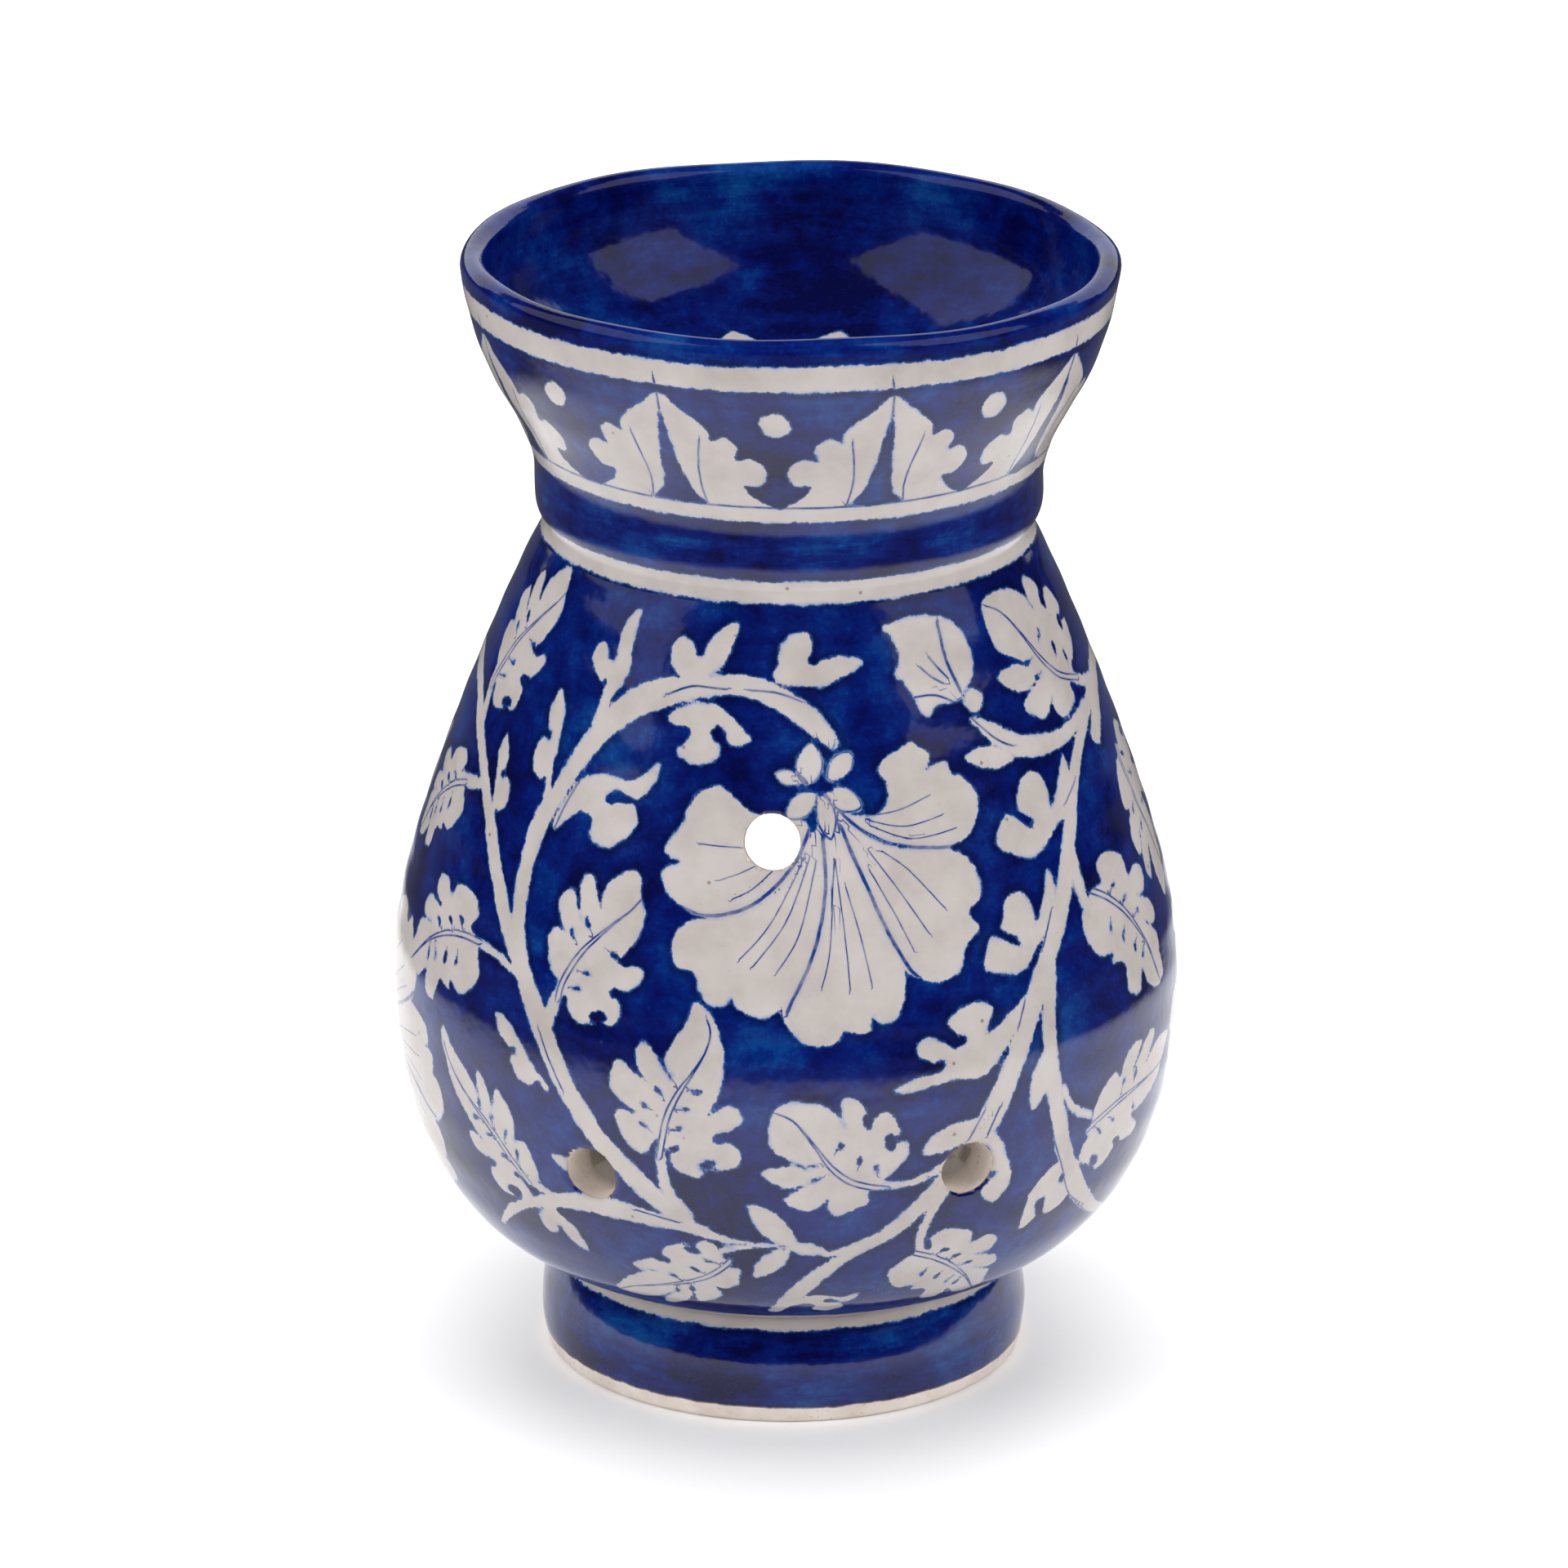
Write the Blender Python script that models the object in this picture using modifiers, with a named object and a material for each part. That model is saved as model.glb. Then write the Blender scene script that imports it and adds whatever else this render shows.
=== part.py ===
"""Blue-and-white pottery vase made as an oil burner, with its tealight.

The pot stands on +Z with its origin at the middle of the foot's underside.
-Y is the front, with three air holes. +Y is the back, where a candle door
opens on the floor of the chamber. The pot is thrown in five sections that
are luted together with slip: foot, lower belly, upper belly, neck collar and
oil bowl. A tealight stands on the chamber floor, under the bowl, and comes
out through the door.
"""

import math

import bmesh
import bpy
from mathutils import Matrix, Vector

MM = 0.001

# ---- heights of the five thrown sections, from the table upwards ----
FOOT_TALL = 13.9 * MM
BELLY_LOWER_TALL = 37.8 * MM
BELLY_UPPER_TALL = 56.2 * MM
COLLAR_TALL = 7.9 * MM
BOWL_TALL = 28.0 * MM

# ---- outside radii ----
FOOT_RADIUS = 30.4 * MM
FOOT_TOP_RADIUS = 29.0 * MM
BELLY_FOOT_RADIUS = 28.0 * MM
BELLY_RADIUS = 50.0 * MM
NECK_RADIUS = 31.2 * MM
COLLAR_TOP_RADIUS = 31.8 * MM
RIM_RADIUS = 41.0 * MM

# ---- thicknesses ----
WALL = 6.0 * MM
FLOOR = 3.8 * MM
BOWL_FLOOR = 5.0 * MM
FOOT_WALL = 7.6 * MM
LIP_ROUND = 1.6 * MM
FOOT_EDGE = 0.9 * MM

# ---- how far the foot swells and the collar tucks in ----
FOOT_BULGE = 1.5 * MM
COLLAR_TUCK = 0.5 * MM

# ---- how full the curves are, as shares of each curve's own run ----
FOOT_LEAN = 0.45
BELLY_FOOT_SPREAD = 0.457
BELLY_FOOT_LIFT = 0.061
BELLY_LOWER_FULL = 0.728
BELLY_UPPER_FULL = 0.197
SHOULDER_SPREAD = 0.258
SHOULDER_DROP = 0.143
BOWL_FLARE = 0.14
BOWL_RISE = 0.25
BOWL_RIM_FULL = 0.17
WELL_SIDE = 0.50
WELL_FLOOR = 0.80

# ---- joints between the sections ----
CLEARANCE = 0.3 * MM
SLIP_WIDTH = 2.4 * MM
SLIP_KEY = 0.4 * MM

# ---- air holes: height from the waist, angle from the front, tilt upwards ----
VENT_RADIUS = 3.5 * MM
VENTS = {
    "upper": (30.0 * MM, -2.5, 19.0),
    "lower_left": (-13.5 * MM, -29.5, 0.0),
    "lower_right": (-12.0 * MM, 27.5, 0.0),
}

# ---- tealight ----
CUP_RADIUS = 19.0 * MM
CUP_TAPER = 0.5 * MM
CUP_TALL = 16.0 * MM
CUP_WALL = 0.4 * MM
WAX_DEPTH = 12.5 * MM
WICK_RADIUS = 0.75 * MM
WICK_SHOWS = 8.0 * MM
SUSTAINER_RADIUS = 6.0 * MM
SUSTAINER_SHEET = 0.5 * MM
SUSTAINER_NECK = 4.0 * MM

# ---- candle door ----
DOOR_SIDE_ROOM = 3.5 * MM
DOOR_SPRING_ROOM = 3.5 * MM

# ---- facets ----
POT_SEGMENTS = 40
VENT_SEGMENTS = 16
TEALIGHT_SEGMENTS = 24
DOOR_ARC_STEPS = 12

# ---- heights that follow from the stack ----
FOOT_TOP = FOOT_TALL
BELLY_BASE = FOOT_TOP + CLEARANCE
CHAMBER_FLOOR = BELLY_BASE + FLOOR
WAIST = BELLY_BASE + BELLY_LOWER_TALL
UPPER_BASE = WAIST + CLEARANCE
SHOULDER = UPPER_BASE + BELLY_UPPER_TALL
COLLAR_BASE = SHOULDER + CLEARANCE
COLLAR_TOP = COLLAR_BASE + COLLAR_TALL
BOWL_BASE = COLLAR_TOP + CLEARANCE
RIM_TOP = BOWL_BASE + BOWL_TALL
WELL_FLOOR_HEIGHT = BOWL_BASE + BOWL_FLOOR
LIP_HEIGHT = RIM_TOP - LIP_ROUND

FOOT_BORE = FOOT_RADIUS - FOOT_WALL
NECK_BORE = NECK_RADIUS - WALL
GROOVE_HALF = SLIP_WIDTH / 2 + CLEARANCE
GROOVE_DEPTH = SLIP_KEY + CLEARANCE
TEALIGHT_BASE = CHAMBER_FLOOR + CLEARANCE


# ---------------------------------------------------------------- outlines
def curve_between(start, start_pull, end_pull, end, steps):
    """Points of a cubic curve, each as (radius, height)."""
    points = []
    for i in range(steps + 1):
        t = i / steps
        s = 1 - t
        weights = (s ** 3, 3 * s * s * t, 3 * s * t * t, t ** 3)
        corners = (start, start_pull, end_pull, end)
        radius = sum(w * c[0] for w, c in zip(weights, corners))
        height = sum(w * c[1] for w, c in zip(weights, corners))
        points.append((radius, height))
    return points


def foot_outline(steps=4):
    """Outside of the foot, from the table up to its top."""
    start = (FOOT_RADIUS, FOOT_EDGE)
    start_pull = (FOOT_RADIUS + FOOT_BULGE, FOOT_TALL * FOOT_LEAN)
    end_pull = (FOOT_TOP_RADIUS + FOOT_BULGE, FOOT_TALL * (1 - FOOT_LEAN / 2))
    return curve_between(start, start_pull, end_pull, (FOOT_TOP_RADIUS, FOOT_TOP), steps)


def belly_lower_outline(steps=8):
    """Outside of the lower belly, from the foot up to the waist."""
    run = BELLY_RADIUS - BELLY_FOOT_RADIUS
    start = (BELLY_FOOT_RADIUS, BELLY_BASE)
    start_pull = (
        BELLY_FOOT_RADIUS + BELLY_FOOT_SPREAD * run,
        BELLY_BASE + BELLY_FOOT_LIFT * BELLY_LOWER_TALL,
    )
    end_pull = (BELLY_RADIUS, WAIST - BELLY_LOWER_FULL * BELLY_LOWER_TALL)
    return curve_between(start, start_pull, end_pull, (BELLY_RADIUS, WAIST), steps)


def belly_upper_outline(steps=9):
    """Outside of the upper belly, from the waist up to the collar."""
    run = BELLY_RADIUS - NECK_RADIUS
    start = (BELLY_RADIUS, UPPER_BASE)
    start_pull = (BELLY_RADIUS, UPPER_BASE + BELLY_UPPER_FULL * BELLY_UPPER_TALL)
    end_pull = (
        NECK_RADIUS + SHOULDER_SPREAD * run,
        SHOULDER - SHOULDER_DROP * BELLY_UPPER_TALL,
    )
    return curve_between(start, start_pull, end_pull, (NECK_RADIUS, SHOULDER), steps)


def collar_outline(steps=4):
    """Outside of the neck collar, tucked in over the shoulder."""
    start = (NECK_RADIUS - COLLAR_TUCK / 2, COLLAR_BASE)
    start_pull = (NECK_RADIUS - COLLAR_TUCK, COLLAR_BASE + COLLAR_TALL / 4)
    end_pull = (COLLAR_TOP_RADIUS, COLLAR_BASE + COLLAR_TALL / 2)
    return curve_between(start, start_pull, end_pull, (COLLAR_TOP_RADIUS, COLLAR_TOP), steps)


def bowl_outline(steps=6):
    """Outside of the bowl, from the collar up to the lip."""
    run = RIM_RADIUS - COLLAR_TOP_RADIUS
    rise = LIP_HEIGHT - BOWL_BASE
    start = (COLLAR_TOP_RADIUS, BOWL_BASE)
    start_pull = (COLLAR_TOP_RADIUS + BOWL_FLARE * run, BOWL_BASE + BOWL_RISE * rise)
    end_pull = (RIM_RADIUS, LIP_HEIGHT - BOWL_RIM_FULL * rise)
    return curve_between(start, start_pull, end_pull, (RIM_RADIUS, LIP_HEIGHT), steps)


def well_outline(steps=7):
    """Inside of the bowl, from the middle of its floor up to the lip."""
    mouth = RIM_RADIUS - 2 * LIP_ROUND
    depth = LIP_HEIGHT - WELL_FLOOR_HEIGHT
    start = (0, WELL_FLOOR_HEIGHT)
    start_pull = (mouth * WELL_FLOOR, WELL_FLOOR_HEIGHT)
    end_pull = (mouth, LIP_HEIGHT - WELL_SIDE * depth)
    return curve_between(start, start_pull, end_pull, (mouth, LIP_HEIGHT), steps)


def lip_outline(steps=4):
    """The rounded lip, from its inner side over the top, without its ends."""
    middle = RIM_RADIUS - LIP_ROUND
    points = []
    for i in range(1, steps):
        turn = math.pi * (1 - i / steps)
        points.append((middle + LIP_ROUND * math.cos(turn), LIP_HEIGHT + LIP_ROUND * math.sin(turn)))
    return points


def wall_inside(outside, low, high):
    """The outline one wall in from an outside, cut off level at low and high."""
    moved = []
    for i, (radius, height) in enumerate(outside):
        before = outside[max(i - 1, 0)]
        after = outside[min(i + 1, len(outside) - 1)]
        along = Vector((after[0] - before[0], after[1] - before[1])).normalized()
        moved.append((radius - along.y * WALL, height + along.x * WALL))
    kept = [p for p in moved if low + CLEARANCE < p[1] < high - CLEARANCE]
    return [(radius_at(moved, low), low)] + kept + [(radius_at(moved, high), high)]


def radius_at(outline, height):
    """Radius of a rising outline at a height, held at its ends."""
    if height <= outline[0][1]:
        return outline[0][0]
    for (r0, z0), (r1, z1) in zip(outline, outline[1:]):
        if z0 <= height <= z1:
            return r0 + (r1 - r0) * (height - z0) / (z1 - z0)
    return outline[-1][0]


def groove(inner, outer, face, into):
    """Four corners of a keying groove in the middle of a joint face.

    They run from the inner side outwards, and into is +1 for a groove that
    goes up from the face or -1 for one that goes down.
    """
    middle = (inner + outer) / 2
    depth = face + into * GROOVE_DEPTH
    return [
        (middle - GROOVE_HALF, face),
        (middle - GROOVE_HALF, depth),
        (middle + GROOVE_HALF, depth),
        (middle + GROOVE_HALF, face),
    ]


# ------------------------------------------------------------ object makers
def material(name, colour, roughness, metallic=0.0):
    """A Principled material with one colour."""
    made = bpy.data.materials.new(name)
    made.use_nodes = True
    shader = made.node_tree.nodes["Principled BSDF"]
    shader.inputs["Base Color"].default_value = (*colour, 1.0)
    shader.inputs["Roughness"].default_value = roughness
    shader.inputs["Metallic"].default_value = metallic
    made.diffuse_color = (*colour, 1.0)
    return made


def turned(name, outline, finish, closed, segments=POT_SEGMENTS, parent=None):
    """A piece turned round +Z from an outline given up the inside and down the outside.

    A closed outline makes a ring. An open one starts and ends on the axis.
    """
    count = len(outline)
    edges = [(i, i + 1) for i in range(count - 1)]
    if closed:
        edges.append((count - 1, 0))
    mesh = bpy.data.meshes.new(name)
    mesh.from_pydata([(radius, 0, height) for radius, height in outline], edges, [])
    piece = bpy.data.objects.new(name, mesh)
    PARTS.objects.link(piece)
    piece.parent = parent
    screw = piece.modifiers.new("turn", "SCREW")
    screw.axis = "Z"
    screw.angle = 2 * math.pi
    screw.steps = segments
    screw.render_steps = segments
    screw.use_merge_vertices = True
    screw.merge_threshold = 0.01 * MM
    screw.use_smooth_shade = True
    mesh.materials.append(finish)
    return piece


def cut(piece, cutter):
    """Cut one solid out of another."""
    boolean = piece.modifiers.new("cut_" + cutter.name, "BOOLEAN")
    boolean.operation = "DIFFERENCE"
    boolean.solver = "EXACT"
    boolean.object = cutter


def hide_cutter(cutter):
    """Keep a cutter out of renders, shown as wire."""
    cutter.hide_render = True
    cutter.display_type = "WIRE"
    return cutter


def vent_cutter(name, height, angle_deg, tilt_deg, outline):
    """A round punch that stands through the wall, level or tilted up towards its outer end."""
    angle = math.radians(angle_deg)
    tilt = math.radians(tilt_deg)
    out = Vector((math.sin(angle), -math.cos(angle), 0))
    away = out * math.cos(tilt) + Vector((0, 0, math.sin(tilt)))
    mouth = out * radius_at(outline, height) + Vector((0, 0, height))
    bpy.ops.mesh.primitive_cylinder_add(
        vertices=VENT_SEGMENTS,
        radius=VENT_RADIUS,
        depth=4 * WALL,
        rotation=away.to_track_quat("Z", "Y").to_euler(),
        location=mouth - away * WALL / 2,
    )
    cutter = bpy.context.object
    cutter.name = "vent_" + name
    bpy.context.collection.objects.unlink(cutter)
    CUTTERS.objects.link(cutter)
    return hide_cutter(cutter)


def door_cutter():
    """The arch of the candle door, as a slab from the pot's axis out through the back wall."""
    half = CUP_RADIUS + DOOR_SIDE_ROOM
    spring = TEALIGHT_BASE + CUP_TALL + DOOR_SPRING_ROOM
    outline = [(half, CHAMBER_FLOOR)]
    for i in range(DOOR_ARC_STEPS + 1):
        turn = math.pi * i / DOOR_ARC_STEPS
        outline.append((half * math.cos(turn), spring + half * math.sin(turn)))
    outline.append((-half, CHAMBER_FLOOR))

    flat = bpy.data.curves.new("door_outline", "CURVE")
    flat.dimensions = "2D"
    flat.fill_mode = "BOTH"
    flat.extrude = BELLY_RADIUS
    spline = flat.splines.new("POLY")
    spline.points.add(len(outline) - 1)
    for point, (across, height) in zip(spline.points, outline):
        point.co = (across, height, 0, 1)
    spline.use_cyclic_u = True
    shape = bpy.data.objects.new("door_outline", flat)
    shape.matrix_world = Matrix.Translation((0, BELLY_RADIUS, 0)) @ Matrix.Rotation(math.pi / 2, 4, "X")
    CUTTERS.objects.link(shape)
    bpy.context.view_layer.update()
    placed = shape.matrix_world.copy()
    evaluated = shape.evaluated_get(bpy.context.evaluated_depsgraph_get())
    mesh = bpy.data.meshes.new_from_object(evaluated)
    weld(mesh)
    cutter = bpy.data.objects.new("candle_door", mesh)
    cutter.matrix_world = placed
    CUTTERS.objects.link(cutter)
    bpy.data.objects.remove(shape)
    return hide_cutter(cutter)


def weld(mesh):
    """Join the loose caps of a mesh that was made from a curve."""
    working = bmesh.new()
    working.from_mesh(mesh)
    bmesh.ops.remove_doubles(working, verts=working.verts, dist=0.01 * MM)
    bmesh.ops.recalc_face_normals(working, faces=working.faces)
    working.to_mesh(mesh)
    working.free()


# ------------------------------------------------------------------- pieces
def make_foot():
    outside = foot_outline()
    outline = [
        (FOOT_BORE + FOOT_EDGE, 0),
        (FOOT_BORE, FOOT_EDGE),
        (FOOT_BORE, FOOT_TOP),
        *groove(FOOT_BORE, BELLY_FOOT_RADIUS, FOOT_TOP, -1),
        *reversed(outside),
        (FOOT_RADIUS - FOOT_EDGE, 0),
    ]
    return turned("foot_ring", outline, GLAZED_FOOT, closed=True)


def make_belly_lower(door, vents):
    outside = belly_lower_outline()
    inside = wall_inside(outside, CHAMBER_FLOOR, WAIST)
    outline = [
        (0, CHAMBER_FLOOR),
        *inside,
        *groove(inside[-1][0], BELLY_RADIUS, WAIST, -1),
        *reversed(outside),
        *reversed(groove(FOOT_BORE, BELLY_FOOT_RADIUS, BELLY_BASE, 1)),
        (0, BELLY_BASE),
    ]
    piece = turned("belly_lower", outline, GLAZED_BELLY_LOWER, closed=False)
    cut(piece, door)
    cut(piece, vents["lower_left"])
    cut(piece, vents["lower_right"])
    return piece


def make_belly_upper(door, vents):
    outside = belly_upper_outline()
    inside = wall_inside(outside, UPPER_BASE, SHOULDER)
    outline = [
        *inside,
        *groove(NECK_BORE, NECK_RADIUS, SHOULDER, -1),
        *reversed(outside),
        *reversed(groove(inside[0][0], BELLY_RADIUS, UPPER_BASE, 1)),
    ]
    piece = turned("belly_upper", outline, GLAZED_BELLY_UPPER, closed=True)
    cut(piece, door)
    cut(piece, vents["upper"])
    return piece


def make_collar():
    outline = [
        (NECK_BORE, COLLAR_BASE),
        (NECK_BORE, COLLAR_TOP),
        *groove(NECK_BORE, COLLAR_TOP_RADIUS, COLLAR_TOP, -1),
        *reversed(collar_outline()),
        *reversed(groove(NECK_BORE, NECK_RADIUS, COLLAR_BASE, 1)),
    ]
    return turned("neck_collar", outline, GLAZED_COLLAR, closed=True)


def make_bowl():
    outline = [
        *well_outline(),
        *lip_outline(),
        *reversed(bowl_outline()),
        *reversed(groove(NECK_BORE, COLLAR_TOP_RADIUS, BOWL_BASE, 1)),
        (0, BOWL_BASE),
    ]
    return turned("oil_bowl", outline, GLAZED_BOWL, closed=False)


def make_slip_seam(name, inner, outer, lower_face):
    """A ring of luting slip, keyed into the grooves of the two faces it joins."""
    middle = (inner + outer) / 2
    low = lower_face - SLIP_KEY
    high = lower_face + CLEARANCE + SLIP_KEY
    outline = [
        (middle - SLIP_WIDTH / 2, low),
        (middle - SLIP_WIDTH / 2, high),
        (middle + SLIP_WIDTH / 2, high),
        (middle + SLIP_WIDTH / 2, low),
    ]
    return turned(name, outline, SLIP, closed=True)


def make_cup(holder):
    floor = TEALIGHT_BASE + CUP_WALL
    top = TEALIGHT_BASE + CUP_TALL
    base_radius = CUP_RADIUS - CUP_TAPER
    outline = [
        (0, floor),
        (base_radius - CUP_WALL, floor),
        (CUP_RADIUS - CUP_WALL, top),
        (CUP_RADIUS, top),
        (base_radius, TEALIGHT_BASE),
        (0, TEALIGHT_BASE),
    ]
    return turned("tealight_cup", outline, CUP_METAL, False, TEALIGHT_SEGMENTS, holder)


def make_wax(holder):
    base = TEALIGHT_BASE + CUP_WALL + CLEARANCE
    top = base + WAX_DEPTH
    bottom_radius = CUP_RADIUS - CUP_TAPER - CUP_WALL - CLEARANCE
    top_radius = bottom_radius + CUP_TAPER * (top - TEALIGHT_BASE) / CUP_TALL
    disc_room = SUSTAINER_RADIUS + CLEARANCE
    disc_top = base + SUSTAINER_SHEET + CLEARANCE
    neck_room = WICK_RADIUS + 2 * CLEARANCE + SUSTAINER_SHEET
    neck_top = base + SUSTAINER_SHEET + SUSTAINER_NECK + CLEARANCE
    wick_room = WICK_RADIUS + CLEARANCE
    outline = [
        (disc_room, base),
        (disc_room, disc_top),
        (neck_room, disc_top),
        (neck_room, neck_top),
        (wick_room, neck_top),
        (wick_room, top),
        (top_radius, top),
        (bottom_radius, base),
    ]
    return turned("tealight_wax", outline, WAX, True, TEALIGHT_SEGMENTS, holder)


def make_sustainer(holder):
    base = TEALIGHT_BASE + CUP_WALL + CLEARANCE
    bore = WICK_RADIUS + CLEARANCE
    outline = [
        (bore, base),
        (bore, base + SUSTAINER_SHEET + SUSTAINER_NECK),
        (bore + SUSTAINER_SHEET, base + SUSTAINER_SHEET + SUSTAINER_NECK),
        (bore + SUSTAINER_SHEET, base + SUSTAINER_SHEET),
        (SUSTAINER_RADIUS, base + SUSTAINER_SHEET),
        (SUSTAINER_RADIUS, base),
    ]
    return turned("wick_sustainer", outline, SUSTAINER_METAL, True, TEALIGHT_SEGMENTS, holder)


def make_wick(holder):
    base = TEALIGHT_BASE + CUP_WALL + 2 * CLEARANCE
    top = TEALIGHT_BASE + CUP_WALL + CLEARANCE + WAX_DEPTH + WICK_SHOWS
    outline = [
        (0, top),
        (WICK_RADIUS, top),
        (WICK_RADIUS, base),
        (0, base),
    ]
    return turned("tealight_wick", outline, WICK, False, TEALIGHT_SEGMENTS // 2, holder)


def collection(name):
    made = bpy.data.collections.new(name)
    bpy.context.scene.collection.children.link(made)
    return made


for thing in list(bpy.data.objects):
    bpy.data.objects.remove(thing)

PARTS = collection("pottery_oil_burner")
CUTTERS = collection("cutters")

COBALT = (0.010, 0.028, 0.165)
CREAM = (0.61, 0.56, 0.52)
BARE_CLAY = (0.50, 0.37, 0.25)

GLAZED_FOOT = material("glazed_foot", COBALT, 0.16)
GLAZED_BELLY_LOWER = material("glazed_belly_lower", COBALT, 0.16)
GLAZED_BELLY_UPPER = material("glazed_belly_upper", COBALT, 0.16)
GLAZED_COLLAR = material("glazed_collar", CREAM, 0.16)
GLAZED_BOWL = material("glazed_bowl", COBALT, 0.14)
SLIP = material("luting_slip", BARE_CLAY, 0.85)
CUP_METAL = material("cup_aluminium", (0.80, 0.81, 0.82), 0.30, 1.0)
WAX = material("candle_wax", (0.90, 0.88, 0.82), 0.45)
WICK = material("cotton_wick", (0.78, 0.74, 0.66), 0.90)
SUSTAINER_METAL = material("sustainer_steel", (0.62, 0.62, 0.61), 0.38, 1.0)

DOOR = door_cutter()
VENT_CUTTERS = {}
for vent, (rise, turn, tilt) in VENTS.items():
    wall_outline = belly_upper_outline() if rise > 0 else belly_lower_outline()
    VENT_CUTTERS[vent] = vent_cutter(vent, WAIST + rise, turn, tilt, wall_outline)

make_foot()
make_belly_lower(DOOR, VENT_CUTTERS)
make_belly_upper(DOOR, VENT_CUTTERS)
make_collar()
make_bowl()

WAIST_INSIDE = wall_inside(belly_upper_outline(), UPPER_BASE, SHOULDER)[0][0]
make_slip_seam("slip_seam_foot", FOOT_BORE, BELLY_FOOT_RADIUS, FOOT_TOP)
cut(make_slip_seam("slip_seam_waist", WAIST_INSIDE, BELLY_RADIUS, WAIST), DOOR)
make_slip_seam("slip_seam_shoulder", NECK_BORE, NECK_RADIUS, SHOULDER)
make_slip_seam("slip_seam_bowl", NECK_BORE, COLLAR_TOP_RADIUS, COLLAR_TOP)

HOLDER = bpy.data.objects.new("tealight_slide", None)
HOLDER.location = (0, 0, 0)
PARTS.objects.link(HOLDER)
make_cup(HOLDER)
make_wax(HOLDER)
make_sustainer(HOLDER)
make_wick(HOLDER)
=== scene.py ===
"""The looks of the blue-and-white pottery oil burner and its tealight.

The pot is turned from one outline, cut at the candle door and the air holes,
and painted: cobalt ground, with flowers, leaves and bands left in white slip.
The painting is worked out as distances over the surface, in millimetres, and
the glaze material turns them into brushed edges.
"""
import math

import bmesh
import bpy
import numpy as np
from mathutils import Matrix, Vector


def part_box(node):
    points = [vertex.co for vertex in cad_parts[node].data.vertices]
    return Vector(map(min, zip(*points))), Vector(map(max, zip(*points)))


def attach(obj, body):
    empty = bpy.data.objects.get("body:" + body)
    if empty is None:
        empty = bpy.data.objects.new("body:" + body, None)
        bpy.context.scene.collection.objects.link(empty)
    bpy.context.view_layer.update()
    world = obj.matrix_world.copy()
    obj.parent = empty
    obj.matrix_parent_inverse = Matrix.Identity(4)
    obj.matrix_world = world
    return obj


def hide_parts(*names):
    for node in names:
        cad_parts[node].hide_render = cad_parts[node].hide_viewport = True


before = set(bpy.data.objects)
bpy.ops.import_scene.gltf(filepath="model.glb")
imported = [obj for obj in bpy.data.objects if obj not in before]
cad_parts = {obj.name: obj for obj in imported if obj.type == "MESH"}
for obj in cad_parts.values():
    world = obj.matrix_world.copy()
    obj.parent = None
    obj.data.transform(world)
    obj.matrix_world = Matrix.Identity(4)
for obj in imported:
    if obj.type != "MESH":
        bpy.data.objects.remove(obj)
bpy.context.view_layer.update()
MM = 0.001


# ============================================================ sizes, from the frame, in mm
def lowest(node):
    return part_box(node)[0] / MM


def highest(node):
    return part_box(node)[1] / MM


def seam_height(below, above):
    """The level where two thrown sections meet."""
    return (highest(below).z + lowest(above).z) / 2


FOOT_SEAM = seam_height("foot_ring", "belly_lower")
WAIST = seam_height("belly_lower", "belly_upper")
SHOULDER = seam_height("belly_upper", "neck_collar")
BOWL_SEAM = seam_height("neck_collar", "oil_bowl")
RIM_TOP = highest("oil_bowl").z
BELLY_RADIUS = highest("belly_upper").x
RIM_RADIUS = highest("oil_bowl").x
COLLAR_RADIUS = highest("neck_collar").x
CUP_RADIUS = highest("tealight_cup").x
CUP_BASE = lowest("tealight_cup").z
CUP_TOP = highest("tealight_cup").z
WAX_BASE = lowest("tealight_wax").z
WAX_TOP = highest("tealight_wax").z
WICK_BASE = lowest("tealight_wick").z
WICK_TOP = highest("tealight_wick").z

# What the nodes' boxes don't give.
FOOT_GAP = 0.3
BOWL_FLOOR_THICK = 5.0
CHAMBER_FLOOR = CUP_BASE - FOOT_GAP
WELL_FLOOR = lowest("oil_bowl").z + BOWL_FLOOR_THICK
WALL = 6.0
FOOT_RADIUS = 30.4
FOOT_TOP_RADIUS = 29.3
FOOT_SEAM_RADIUS = 28.3
FOOT_BORE = 22.8
FOOT_EDGE = 0.9
FOOT_ROLL = 1.0
NECK_RADIUS = 31.2
NECK_BORE = NECK_RADIUS - WALL
LIP_ROUND = 1.6
FLARE = (36.9, 129.4)
SLIP_HALF = 1.5
SLIP_DEPTH = 0.7
SLIP_GAP = 0.02

DOOR_ROOM = 3.5
DOOR_HALF = CUP_RADIUS + DOOR_ROOM
DOOR_SPRING = CUP_TOP + DOOR_ROOM
DOOR_SOFT = 1.3
VENT_RADIUS = 3.5
VENT_SOFT = 0.55
VENTS = (
    # degrees round from the front, height, degrees tilted upwards
    (-2.5, 82.15, 19.0),
    (-29.5, 38.5, 0.0),
    (27.5, 40.0, 0.0),
)

# How finely the sections are turned: columns round the pot, and mm between rows.
BELLY_COLUMNS = 640
BELLY_ROW = 0.50
BOWL_COLUMNS = 576
BOWL_ROW = 0.45
INSIDE_ROW = 2.4
WELL_ROW = 0.75
LIP_ROW = 0.35
FLAT_ROW = 6.0


# ============================================================ the turned outline
def curve_between(start, start_pull, end_pull, end, steps=160):
    """A cubic curve as an array of (radius, height)."""
    t = np.linspace(0, 1, steps + 1)[:, None]
    s = 1 - t
    start, start_pull, end_pull, end = map(np.array, (start, start_pull, end_pull, end))
    return s ** 3 * start + 3 * s * s * t * start_pull + 3 * s * t * t * end_pull + t ** 3 * end


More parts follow.
